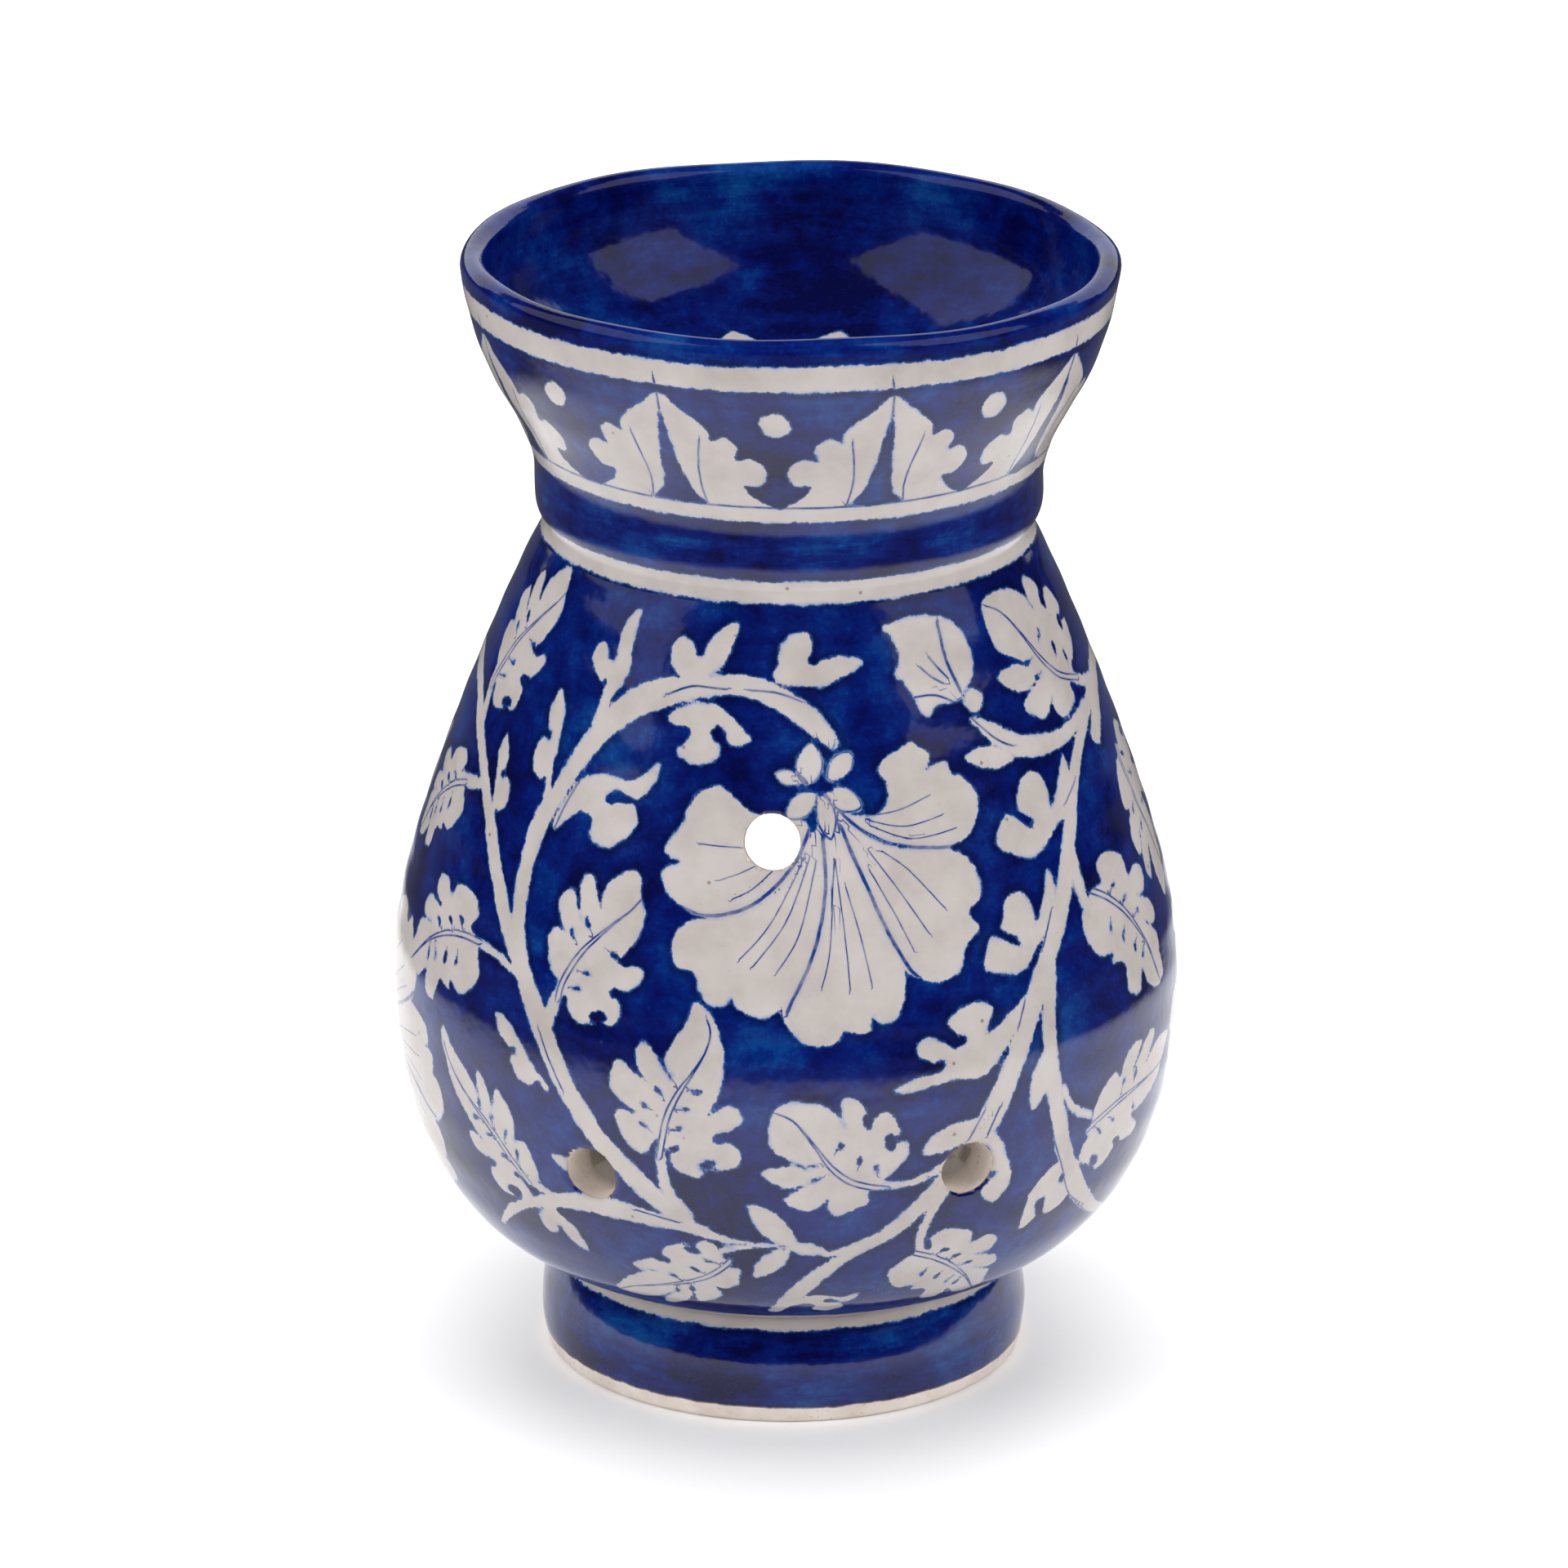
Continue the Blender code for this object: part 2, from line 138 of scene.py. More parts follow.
def round_corner(middle, size, first, last, steps=10):
    """A circular arc between two angles in degrees, in the outline's plane."""
    turn = np.radians(np.linspace(first, last, steps + 1))
    return np.stack([middle[0] + size * np.cos(turn), middle[1] + size * np.sin(turn)], 1)


def joined(*runs):
    """Runs of points end to end, without the doubled ends."""
    kept = [runs[0]]
    for run in runs[1:]:
        kept.append(run[1:] if np.allclose(run[0], kept[-1][-1], atol=1e-6) else run)
    return np.vstack(kept)


def evenly(points, spacing):
    """The same line with points at even steps along it."""
    points = np.asarray(points, float)
    lengths = np.r_[0, np.cumsum(np.hypot(*np.diff(points, axis=0).T))]
    count = max(2, int(round(lengths[-1] / spacing)) + 1)
    at = np.linspace(0, lengths[-1], count)
    return np.stack([np.interp(at, lengths, points[:, 0]), np.interp(at, lengths, points[:, 1])], 1)


FOOT_OUTSIDE = joined(
    round_corner((FOOT_RADIUS - FOOT_EDGE, FOOT_EDGE), FOOT_EDGE, -90, 0),
    curve_between(
        (FOOT_RADIUS, FOOT_EDGE),
        (FOOT_RADIUS + 1.5, 6.2),
        (FOOT_TOP_RADIUS + 1.2, 10.4),
        (FOOT_TOP_RADIUS, FOOT_SEAM - FOOT_ROLL),
    ),
    round_corner((FOOT_SEAM_RADIUS, FOOT_SEAM - FOOT_ROLL), FOOT_ROLL, 0, 90),
)
LOWER_OUTSIDE = curve_between(
    (FOOT_SEAM_RADIUS, FOOT_SEAM),
    (FOOT_SEAM_RADIUS + 9.9, FOOT_SEAM + 2.3),
    (BELLY_RADIUS, WAIST - 27.5),
    (BELLY_RADIUS, WAIST),
)
UPPER_OUTSIDE = curve_between(
    (BELLY_RADIUS, WAIST),
    (BELLY_RADIUS, WAIST + 14.0),
    (NECK_RADIUS + 2.6, SHOULDER - 4.25),
    (NECK_RADIUS, SHOULDER),
)
COLLAR_OUTSIDE = joined(
    curve_between(
        (NECK_RADIUS, SHOULDER),
        (NECK_RADIUS - 0.5, SHOULDER + 0.9),
        (NECK_RADIUS - 0.4, SHOULDER + 2.2),
        (NECK_RADIUS + 0.15, SHOULDER + 3.2),
    ),
    curve_between(
        (NECK_RADIUS + 0.15, SHOULDER + 3.2),
        (NECK_RADIUS + 0.75, SHOULDER + 4.3),
        (COLLAR_RADIUS, SHOULDER + 5.6),
        (COLLAR_RADIUS, BOWL_SEAM),
    ),
)
LIP_MIDDLE = (RIM_RADIUS - LIP_ROUND, RIM_TOP - LIP_ROUND)
BOWL_OUTSIDE = joined(
    curve_between(
        (COLLAR_RADIUS, BOWL_SEAM),
        (COLLAR_RADIUS + 0.1, BOWL_SEAM + 4.2),
        (COLLAR_RADIUS + 3.3, BOWL_SEAM + 9.4),
        FLARE,
    ),
    curve_between(
        FLARE,
        (39.2, 134.0),
        (RIM_RADIUS - 0.6, 138.6),
        (RIM_RADIUS, RIM_TOP - LIP_ROUND),
    ),
)
LIP = round_corner(LIP_MIDDLE, LIP_ROUND, 0, 180, 16)
WELL = curve_between(
    (RIM_RADIUS - 2 * LIP_ROUND, RIM_TOP - LIP_ROUND),
    (RIM_RADIUS - 2 * LIP_ROUND - 0.4, RIM_TOP - 12.3),
    (29.5, WELL_FLOOR),
    (0, WELL_FLOOR),
)
OUTSIDE = joined(FOOT_OUTSIDE, LOWER_OUTSIDE, UPPER_OUTSIDE, COLLAR_OUTSIDE, BOWL_OUTSIDE)
OUTSIDE_RUN = np.r_[0, np.cumsum(np.hypot(*np.diff(OUTSIDE, axis=0).T))]


def run_at(height):
    """Distance along the outside, from the foot's edge up to a height."""
    return np.interp(height, OUTSIDE[:, 1], OUTSIDE_RUN)


def radius_at(height):
    return np.interp(height, OUTSIDE[:, 1], OUTSIDE[:, 0])


def wall_inside(outside, low, high):
    """The outline one wall in, between two levels."""
    along = np.gradient(outside, axis=0)
    along /= np.hypot(*along.T)[:, None]
    moved = outside + np.stack([-along[:, 1], along[:, 0]], 1) * WALL
    kept = moved[(moved[:, 1] > low + 0.2) & (moved[:, 1] < high - 0.2)]
    ends = np.interp([low, high], moved[:, 1], moved[:, 0])
    return np.vstack([[ends[0], low], kept, [ends[1], high]])


def groove(inner, outer, face, into):
    """The keying groove in the middle of a joint face, from inside to outside."""
    middle = (inner + outer) / 2
    return np.array([
        (middle - SLIP_HALF, face),
        (middle - SLIP_HALF, face + into * SLIP_DEPTH),
        (middle + SLIP_HALF, face + into * SLIP_DEPTH),
        (middle + SLIP_HALF, face),
    ])


def add_object(name, data):
    """A new object, put in the scene."""
    made = bpy.data.objects.new(name, data)
    bpy.context.scene.collection.objects.link(made)
    return made


# ============================================================ node trees
class Web:
    """Adds nodes to a tree and joins them."""

    def __init__(self, tree):
        self.tree = tree

    def put(self, target, value):
        if isinstance(value, bpy.types.NodeSocket):
            self.tree.links.new(value, target)
        elif value is not None:
            target.default_value = value

    def node(self, kind, inputs=(), **settings):
        """A node with its settings, then its inputs by name or number."""
        made = self.tree.nodes.new(kind)
        for key, value in settings.items():
            setattr(made, key, value)
        for key, value in dict(inputs).items():
            self.put(made.inputs[key], value)
        return made

    def sum(self, operation, *values):
        return self.node("ShaderNodeMath", enumerate(values), operation=operation).outputs[0]

    def times(self, first, second):
        return self.sum("MULTIPLY", first, second)

    def plus(self, first, second):
        return self.sum("ADD", first, second)

    def line(self, value, slope, offset):
        return self.sum("MULTIPLY_ADD", value, slope, offset)

    def scale(self, vector, factors):
        return self.node("ShaderNodeVectorMath", {0: vector, 1: factors},
                         operation="MULTIPLY").outputs[0]

    def step(self, value, start, end):
        """A soft step from 0 at start to 1 at end, either way round."""
        return self.node("ShaderNodeMapRange", {
            "Value": value, "From Min": min(start, end), "From Max": max(start, end),
            "To Min": float(start > end), "To Max": float(end > start),
        }, interpolation_type="SMOOTHSTEP").outputs[0]

    def noise(self, vector, scale, detail=2.0, rough=0.5):
        return self.node("ShaderNodeTexNoise", {
            "Vector": vector, "Scale": scale, "Detail": detail, "Roughness": rough,
        }).outputs["Fac"]

    def waver(self, vector, scale, detail, rough, amount):
        """A noise that swings evenly about nought."""
        centred = self.sum("SUBTRACT", self.noise(vector, scale, detail, rough), 0.5)
        return self.times(centred, amount)

    def cells(self, vector, scale):
        """Scattered cells: the distance from each middle, and a colour for each."""
        return self.node("ShaderNodeTexVoronoi", {
            "Vector": vector, "Scale": scale, "Randomness": 1.0}).outputs

    def blend(self, factor, first, second, kind="MIX"):
        return self.node("ShaderNodeMix", {0: factor, 6: first, 7: second}, data_type="RGBA",
                         blend_type=kind, clamp_factor=True).outputs[2]

    def between(self, factor, first, second):
        """A number between two others."""
        return self.node("ShaderNodeMix", {0: factor, 2: first, 3: second},
                         data_type="FLOAT").outputs[0]

    def ramp(self, value, stops):
        made = self.tree.nodes.new("ShaderNodeValToRGB")
        self.put(made.inputs[0], value)
        marks = made.color_ramp.elements
        marks[0].position, marks[0].color = stops[0]
        marks[1].position, marks[1].color = stops[-1]
        for place, colour in stops[1:-1]:
            marks.new(place).color = colour
        return made.outputs["Color"]


def rgb(red, green, blue):
    return (red, green, blue, 1.0)


def make_group(kind, name, inputs, outputs):
    """A node group with named sockets, and its web, its input node and its output node."""
    tree = bpy.data.node_groups.new(name, kind)
    for label, socket, value in inputs:
        made = tree.interface.new_socket(name=label, in_out="INPUT", socket_type=socket)
        if value is not None:
            made.default_value = value
    for label, socket in outputs:
        tree.interface.new_socket(name=label, in_out="OUTPUT", socket_type=socket)
    web = Web(tree)
    given = tree.nodes.new("NodeGroupInput").outputs
    return tree, web, given, tree.nodes.new("NodeGroupOutput").inputs


def use_group(web, group, inputs=()):
    made = web.tree.nodes.new("ShaderNodeGroup")
    made.node_tree = group
    for key, value in dict(inputs).items():
        web.put(made.inputs[key], value)
    return made.outputs


def finished(web, geometry, finish):
    """The end of every geometry tree: real meshes, with their material."""
    whole = web.node("GeometryNodeRealizeInstances", {"Geometry": geometry})
    return web.node("GeometryNodeSetMaterial", {
        "Geometry": whole.outputs[0], "Material": finish}).outputs[0]


# ============================================================ turning on the wheel
SAME_PLACE = 0.002 * MM


def wheel_tree():
    """Turns an outline, given as a mesh line, round the pot's axis."""
    tree, web, given, result = make_group(
        "GeometryNodeTree", "turn_on_wheel",
        [("Outline", "NodeSocketGeometry", None), ("Columns", "NodeSocketInt", 64),
         ("Flutes", "NodeSocketFloat", 0.0), ("Flute depth", "NodeSocketFloat", 0.0),
         ("Flutes from", "NodeSocketFloat", 0.0), ("Flutes to", "NodeSocketFloat", 1.0),
         ("Finish", "NodeSocketMaterial", None)],
        [("Turned", "NodeSocketGeometry")],
    )
    tree.is_modifier = True
    rows = web.node("GeometryNodeAttributeDomainSize",
                    {"Geometry": given["Outline"]}).outputs["Point Count"]
    columns = web.plus(given["Columns"], 1.0)
    grid = web.node("GeometryNodeMeshGrid", {"Size X": 1.0, "Size Y": 1.0,
                                             "Vertices X": columns, "Vertices Y": rows})
    index = web.node("GeometryNodeInputIndex").outputs[0]
    row = web.sum("MODULO", index, rows)
    column = web.sum("FLOOR", web.sum("DIVIDE", web.plus(index, 0.5), rows))
    place = web.node("GeometryNodeInputPosition").outputs[0]
    sample = web.node("GeometryNodeSampleIndex", {
        "Geometry": given["Outline"], "Value": place, "Index": row}, data_type="FLOAT_VECTOR")
    point = web.node("ShaderNodeSeparateXYZ", {"Vector": sample.outputs[0]}).outputs
    turn = web.sum("DIVIDE", web.times(column, 2 * math.pi), given["Columns"])
    wave = web.sum("COSINE", web.times(turn, given["Flutes"]))
    above = web.sum("GREATER_THAN", point["Z"], given["Flutes from"])
    below = web.sum("LESS_THAN", point["Z"], given["Flutes to"])
    depth = web.times(web.times(above, below), given["Flute depth"])
    radius = web.line(wave, depth, point["X"])
    around = web.node("ShaderNodeCombineXYZ", {
        "X": web.times(radius, web.sum("SINE", turn)),
        "Y": web.times(web.times(radius, web.sum("COSINE", turn)), -1.0),
        "Z": point["Z"],
    })
    moved = web.node("GeometryNodeSetPosition", {
        "Geometry": grid.outputs["Mesh"], "Position": around.outputs[0]})
    closed = web.node("GeometryNodeMergeByDistance", {
        "Geometry": moved.outputs[0], "Distance": SAME_PLACE})
    web.put(result["Turned"], finished(web, closed.outputs[0], given["Finish"]))
    return tree


WHEEL = wheel_tree()


def set_inputs(modifier, values):
    """Sets a Geometry Nodes modifier's inputs, named as on the tree."""
    for item in modifier.node_group.interface.items_tree:
        if item.item_type == "SOCKET" and item.in_out == "INPUT" and item.name in values:
            modifier[item.identifier] = values[item.name]


def baked(obj, name):
    """A plain object of one material, in place of one that is still made by modifiers."""
    evaluated = obj.evaluated_get(bpy.context.evaluated_depsgraph_get())
    mesh = bpy.data.meshes.new_from_object(evaluated)
    mesh.name = name
    finishes = [finish for finish in mesh.materials if finish]
    mesh.materials.clear()
    for finish in finishes[:1]:
        mesh.materials.append(finish)
    mesh.polygons.foreach_set("material_index", np.zeros(len(mesh.polygons), np.int32))
    bpy.data.objects.remove(obj)
    return add_object(name, mesh)


def turned(name, outline, columns, finish, **flutes):
    """A piece turned from an outline in mm, up the inside and down the outside."""
    outline = np.asarray(outline, float)
    if outline[0][0] > 1e-6:
        outline = np.vstack([outline, outline[:1]])
    outline[:, 0] = np.where(outline[:, 0] < 1e-6, 0, outline[:, 0])
    line = bpy.data.meshes.new(name + "_outline")
    points = [(r * MM, 0, z * MM) for r, z in outline]
    line.from_pydata(points, [(i, i + 1) for i in range(len(points) - 1)], [])
    obj = add_object(name + "_outline", line)
    wheel = obj.modifiers.new("wheel", "NODES")
    wheel.node_group = WHEEL
    set_inputs(wheel, {"Columns": columns, "Finish": finish, **flutes})
    made = baked(obj, name)
    facing_out(made.data)
    return made


SHARP_ANGLE = 48


def facing_out(mesh):
    """Turns every face of a closed mesh outwards, and shades it smooth but for real corners."""
    work = bmesh.new()
    work.from_mesh(mesh)
    bmesh.ops.recalc_face_normals(work, faces=work.faces)
    work.to_mesh(mesh)
    work.free()
    mesh.shade_smooth()
    mesh.set_sharp_from_angle(angle=math.radians(SHARP_ANGLE))


def corners(mesh):
    """The mesh's points as an array, in mm."""
    flat = np.zeros(len(mesh.vertices) * 3, np.float32)
    mesh.vertices.foreach_get("co", flat)
    return flat.reshape(-1, 3).astype(float) / MM


def set_corners(mesh, points):
    mesh.vertices.foreach_set("co", (points * MM).astype(np.float32).ravel())
    mesh.update()


def store(mesh, name, values):
    """Keeps one number for each point of the mesh."""
    layer = mesh.attributes.new(name, "FLOAT", "POINT")
    layer.data.foreach_set("value", np.asarray(values, np.float32))


# ============================================================ cutting the door and the air holes
def soft_push(gap, size):
    """How far an edge is pushed in, at a distance outside the cut, to round it over."""
    reach = np.clip(gap, 0, size)
    return size - np.sqrt(np.maximum(size ** 2 - (size - reach) ** 2, 0))


def door_gap(points):
    """Distance from the candle door's arch, seen from behind, for points at the back."""
    x = np.abs(points[:, 0])
    z = points[:, 2]
    arch = np.hypot(x, z - DOOR_SPRING) - DOOR_HALF
    side = np.maximum(x - DOOR_HALF, CHAMBER_FLOOR - z)
    corner = np.hypot(np.maximum(x - DOOR_HALF, 0), np.maximum(CHAMBER_FLOOR - z, 0))
    straight = np.where(corner > 0, corner, side)
    gap = np.where(z > DOOR_SPRING, arch, straight)
    return np.where(points[:, 1] > 0, gap, 1e3)


def vent_line(angle, height, tilt):
    """The middle of an air hole's mouth, and the way the hole points."""
    turn = math.radians(angle)
    lean = math.radians(tilt)
    out = np.array([math.sin(turn), -math.cos(turn), 0])
    return out * radius_at(height) + [0, 0, height], out * math.cos(lean) + [0, 0, math.sin(lean)]


ON_FACE = 0.02


def soften_cuts(mesh, inside):
    """Rounds the wall's edges where the door and the air holes will be cut."""
    points = corners(mesh)
    radius = np.hypot(points[:, 0], points[:, 1])
    outer = np.abs(radius - radius_at(points[:, 2])) < ON_FACE
    inner = np.abs(radius - np.interp(points[:, 2], inside[:, 1], inside[:, 0])) < ON_FACE
    slope = np.interp(points[:, 2], OUTSIDE[:, 1], np.gradient(OUTSIDE[:, 0], OUTSIDE_RUN))
    rise = np.sqrt(np.maximum(1 - slope ** 2, 0))
    turn = np.arctan2(points[:, 0], -points[:, 1])
    out = np.stack([np.sin(turn) * rise, -np.cos(turn) * rise, -slope], 1)
    push = soft_push(door_gap(points), DOOR_SOFT)
    for vent in VENTS:
        mouth, away = vent_line(*vent)
        beyond = points - mouth
        along = beyond @ away
        gap = np.sqrt(np.maximum((beyond ** 2).sum(1) - along ** 2, 0)) - VENT_RADIUS
        push = np.maximum(push, np.where(along > -2 * WALL, soft_push(gap, VENT_SOFT), 0))
    level = (points[:, 2] > CHAMBER_FLOOR + 0.5) & (np.abs(points[:, 2] - WAIST) > 1e-3)
    points -= out * (push * outer)[:, None]
    points += out * (push * (inner & level & ~outer))[:, None]
    set_corners(mesh, points)


def prism(name, outline, depth, matrix, ring=0.8):
    """A flat outline made a solid, with a ring of faces for each step of its depth."""
    work = bmesh.new()
    steps = max(1, round(abs(depth) / ring))
    levels = [[work.verts.new((x * MM, y * MM, depth * MM * i / steps)) for x, y in outline]
              for i in range(steps + 1)]
    for low, high in zip(levels[:-1], levels[1:]):
        for i in range(len(outline)):
            j = (i + 1) % len(outline)
            work.faces.new((low[i], low[j], high[j], high[i]))
    work.faces.new(levels[0][::-1])
    work.faces.new(levels[-1])
    bmesh.ops.transform(work, matrix=matrix, verts=work.verts)
    bmesh.ops.recalc_face_normals(work, faces=work.faces)
    mesh = bpy.data.meshes.new(name)
    work.to_mesh(mesh)
    work.free()
    return add_object(name, mesh)


def door_punch():
    """An arched bar that runs out of the back from the middle."""
    arch = round_corner((0, DOOR_SPRING), DOOR_HALF, 0, 180, 96)
    sill = CHAMBER_FLOOR + ON_FACE
    outline = np.vstack([[(DOOR_HALF, sill)], arch, [(-DOOR_HALF, sill)]])
    lying = Matrix.Rotation(math.pi / 2, 4, "X")
    return prism("door_punch", outline, -1.6 * BELLY_RADIUS, lying, 1.0)


def vent_punch(vent):
    """A round bar through the wall, along the air hole."""
    circle = round_corner((0, 0), VENT_RADIUS, 0, 360 - 5, 71)
    mouth, away = vent_line(*vent)
    start = Vector(mouth - away * 2.2 * WALL) * MM
    stand = Matrix.Translation(start) @ Vector(away).to_track_quat("Z", "Y").to_matrix().to_4x4()
    return prism("vent_punch", circle, 4 * WALL, stand, 0.5)


def punched(obj, punches):
    """The object with every punch cut out of it."""
    name = obj.name
    for punch in punches:
        cut = obj.modifiers.new("cut", "BOOLEAN")
        cut.operation = "DIFFERENCE"
        cut.solver = "EXACT"
        cut.object = punch
    obj.name = name + "_uncut"
    bpy.context.view_layer.update()
    made = baked(obj, name)
    for punch in punches:
        bpy.data.objects.remove(punch)
    facing_out(made.data)
    return made


# ============================================================ what is painted on the outside
# What is laid down, in mm over the surface: shapes left white, dark touches, thin lines.
WHITES = []
DARKS = []
LINES = []
LINE_WIDTH = 0.3


def smooth(points, closed=False, steps=6):
    """A line drawn through the points without corners. Each may carry a width."""
    points = np.asarray(points, float)
    count = len(points)
    spans = count if closed else count - 1
    out = []
    for i in range(spans):
        if closed:
            a, b, c, d = (points[(i + k) % count] for k in (-1, 0, 1, 2))
        else:
            a, b, c, d = (points[min(max(i + k, 0), count - 1)] for k in (-1, 0, 1, 2))
        for t in np.arange(steps) / steps:
            out.append(0.5 * (2 * b + (c - a) * t + (2 * a - 5 * b + 4 * c - d) * t * t
                              + (3 * b - 3 * c + d - a) * t ** 3))
    if not closed:
        out.append(points[-1])
    return np.array(out)


class Spot:
    """A place on the outside, with a heading and a size for what is painted there."""

    def __init__(self, turn, height, heading=0.0, size=1.0, flip=1):
        self.turn = turn
        self.height = height
        self.heading = math.radians(heading)
        self.size = size
        self.flip = flip

    def flat(self, points):
        """Points of the motif, in mm, laid on the surface about this spot."""
        points = np.asarray(points, float).copy()
        x = points[:, 0] * self.size
        y = points[:, 1] * self.size * self.flip
        points[:, 0] = x * math.cos(self.heading) - y * math.sin(self.heading)
        points[:, 1] = x * math.sin(self.heading) + y * math.cos(self.heading)
        if points.shape[1] > 2:
            points[:, 2] *= self.size
        return points

    def anchor(self):
        return math.radians(self.turn), float(run_at(self.height))


class Pot(Spot):
    """The outside itself. Points are (degrees round from the front, height in mm)."""

    def __init__(self, turn, height, shift=0.0):
        super().__init__(turn, height)
        self.shift = shift

    def flat(self, points):
        points = np.asarray(points, float).copy()
        height = points[:, 1] + self.shift
        points[:, 0] = np.radians(points[:, 0]) * radius_at(height)
        points[:, 1] = run_at(height) - run_at(self.height)
        return points


def leave_white(spot, outline, soft=True):
    """A shape the cobalt goes round."""
    outline = smooth(outline, True) if soft else outline
    WHITES.append((spot.anchor(), "area", spot.flat(outline)))


def leave_ribbon(spot, stations):
    """A tapering white stroke: stations are (x, y, width)."""
    WHITES.append((spot.anchor(), "ribbon", spot.flat(smooth(stations))))


def paint_dark(spot, outline):
    """Cobalt over a shape that was left white."""
    DARKS.append((spot.anchor(), "area", spot.flat(smooth(outline, True))))


def paint_blob(spot, x, y, long, wide=None, lean=0.0):
    """A dark touch of the brush."""
    wide = wide or long
    turn = np.radians(np.arange(0, 360, 45))
    lean = math.radians(lean)
    across = long * np.cos(turn)
    up = wide * np.sin(turn)
    outline = np.stack([x + across * math.cos(lean) - up * math.sin(lean),
                        y + across * math.sin(lean) + up * math.cos(lean)], 1)
    paint_dark(spot, outline)


def draw_line(spot, points, width):
    """A thin blue line. A third number on a point is the gap between two lines side by side."""
    LINES.append((spot.anchor(), spot.flat(smooth(points)), width))


def egg(root, tip, half_width, fullness=1.15, points=14):
    """The outline of one lobe, from its root to its rounded tip."""
    root = np.array(root, float)
    tip = np.array(tip, float)
    along = tip - root
    length = np.hypot(*along)
    side = np.array([-along[1], along[0]]) / length
    share = (1 - np.cos(np.linspace(0, math.pi, points))) / 2
    width = half_width * np.sin(math.pi * share ** fullness) ** 0.72
    middle = root + share[:, None] * along
    return np.vstack([middle + side * width[:, None], (middle - side * width[:, None])[-2:0:-1]])


def drawn(points, widen=1.0):
    """Points of a drawing, from hundredths of its length, made wider or narrower."""
    return [(x / 100, y / 100 * widen, *rest) for x, y, *rest in points]


# Each leaf lies along x from its stalk at 0 to its tip at 100. It has an outline, a vein and
# eyelets. An eyelet with a third number is a large touch of that many times the size.
LEAVES_DRAWN = {
    "folded": (
        ((100, 1), (112, 16), (108, 24), (92, 29), (81, 26), (71, 19), (79, 32), (85, 43),
         (78, 47), (68, 42), (54, 27), (65, 46), (56, 51), (48, 49), (41, 39), (38, 29), (34, 38),
         (24, 37), (14, 26), (9, 16), (8, 6), (2, 1), (5, -6), (0, -12), (-3, -24), (4, -34),
         (10, -39), (15, -32), (13, -44), (20, -50), (31, -44), (36, -35), (41, -38), (48, -41),
         (60, -41), (63, -34), (56, -26), (54, -18), (62, -19), (80, -17), (94, -9)),
        ((-2, -2), (10, 4), (36, 8), (66, 5), (88, 1), (100, 1)),
        ((42, 24), (57, 21), (30, -7), (16, -9), (56, -13), (13, -36, 2.0), (37, -35, 1.8)),
    ),
    "long": (
        ((100, 0), (90, 1), (81, 3), (70, 8), (60, 8), (49, 2), (57, 11), (63, 16), (67, 25),
         (60, 28), (51, 24), (44, 17), (48, 28), (52, 39), (42, 41), (32, 38), (25, 27), (22, 20),
         (19, 33), (9, 30), (-1, 20), (-3, 10), (5, 6), (11, 3), (-1, 2), (-2, -2), (5, -5),
         (-6, -9), (-8.5, -16), (-9, -27), (0, -30), (-1, -36), (4, -48), (12, -50), (18, -45),
         (22, -36), (33, -45), (40, -45), (44, -38), (40, -32), (34, -25), (43, -28), (55, -29),
         (70, -28), (83, -22), (93, -15), (99, -7)),
        ((-2, 0), (24, 0), (42, -4), (57, -10), (73, -15), (85, -15), (92, -11)),
        ((47, -16), (34, -11), (20, -8), (7, -9), (53, 4), (41, 9), (29, 16), (16, 14),
         (1, -30, 2.0), (22, -36, 2.0)),
    ),
    "broad": (
        ((101, -2), (101, -10), (92, -19), (78, -26), (64, -27), (52, -22), (62, -30), (66, -39),
         (58, -42), (50, -41), (41, -34), (38, -43), (32, -46), (17, -40), (18, -28), (8, -35),
         (2, -26), (2, -15), (5, -3), (0, 0), (8, 8), (3, 15), (7, 24), (15, 34), (25, 33),
         (29, 26), (31, 37), (37, 44), (54, 44), (51, 32), (45, 20), (59, 36), (79, 37), (76, 28),
         (66, 20), (54, 14), (70, 17), (84, 18), (94, 10)),
        ((-3, 0), (21, 8), (41, 7), (62, 0), (85, -7), (100, -5)),
        ((47, -10), (29, -8), (15, -9), (57, 15), (46, 20), (42, -34, 1.8), (18, -29, 1.8)),
    ),
    "slender": (
        ((100, 0), (91, 6), (78, 10), (64, 11), (52, 10), (59, 16), (50, 19), (40, 18), (34, 12),
         (34, 19), (23, 18), (13, 17), (20, 10), (7, 14), (-5, 11), (-5, 4), (2, 2), (-1, -5),
         (-2, -11), (5, -20), (15, -21), (20, -18), (27, -24), (35, -23), (38, -17), (49, -23),
         (59, -25), (64, -21), (55, -14), (45, -9), (55, -9), (72, -12), (90, -9)),
        ((-2, 0), (15, 3), (33, 5), (60, 1), (87, -2), (98, 0)),
        ((12, -6), (23, -3), (38, -3), (20, -18, 1.6), (38, -17, 1.6)),
    ),
    "spread": (
        ((100, 2), (98, 9), (85, 16), (71, 12), (76, 27), (64, 36), (51, 23), (39, 31), (36, 24),
         (24, 36), (3, 28), (0, 10), (0, 2), (3, -5), (7, -13), (-2, -21), (3, -36), (22, -46),
         (33, -38), (39, -52), (51, -55), (56, -43), (47, -31), (66, -41), (76, -37), (75, -28),
         (63, -21), (81, -25), (91, -16), (102, -6)),
        ((-2, 0), (19, -8), (42, -11), (69, -8), (98, 2)),
        ((34, -21), (19, -19), (51, -22), (68, 3), (57, 5), (42, 7), (27, 11)),
    ),
}


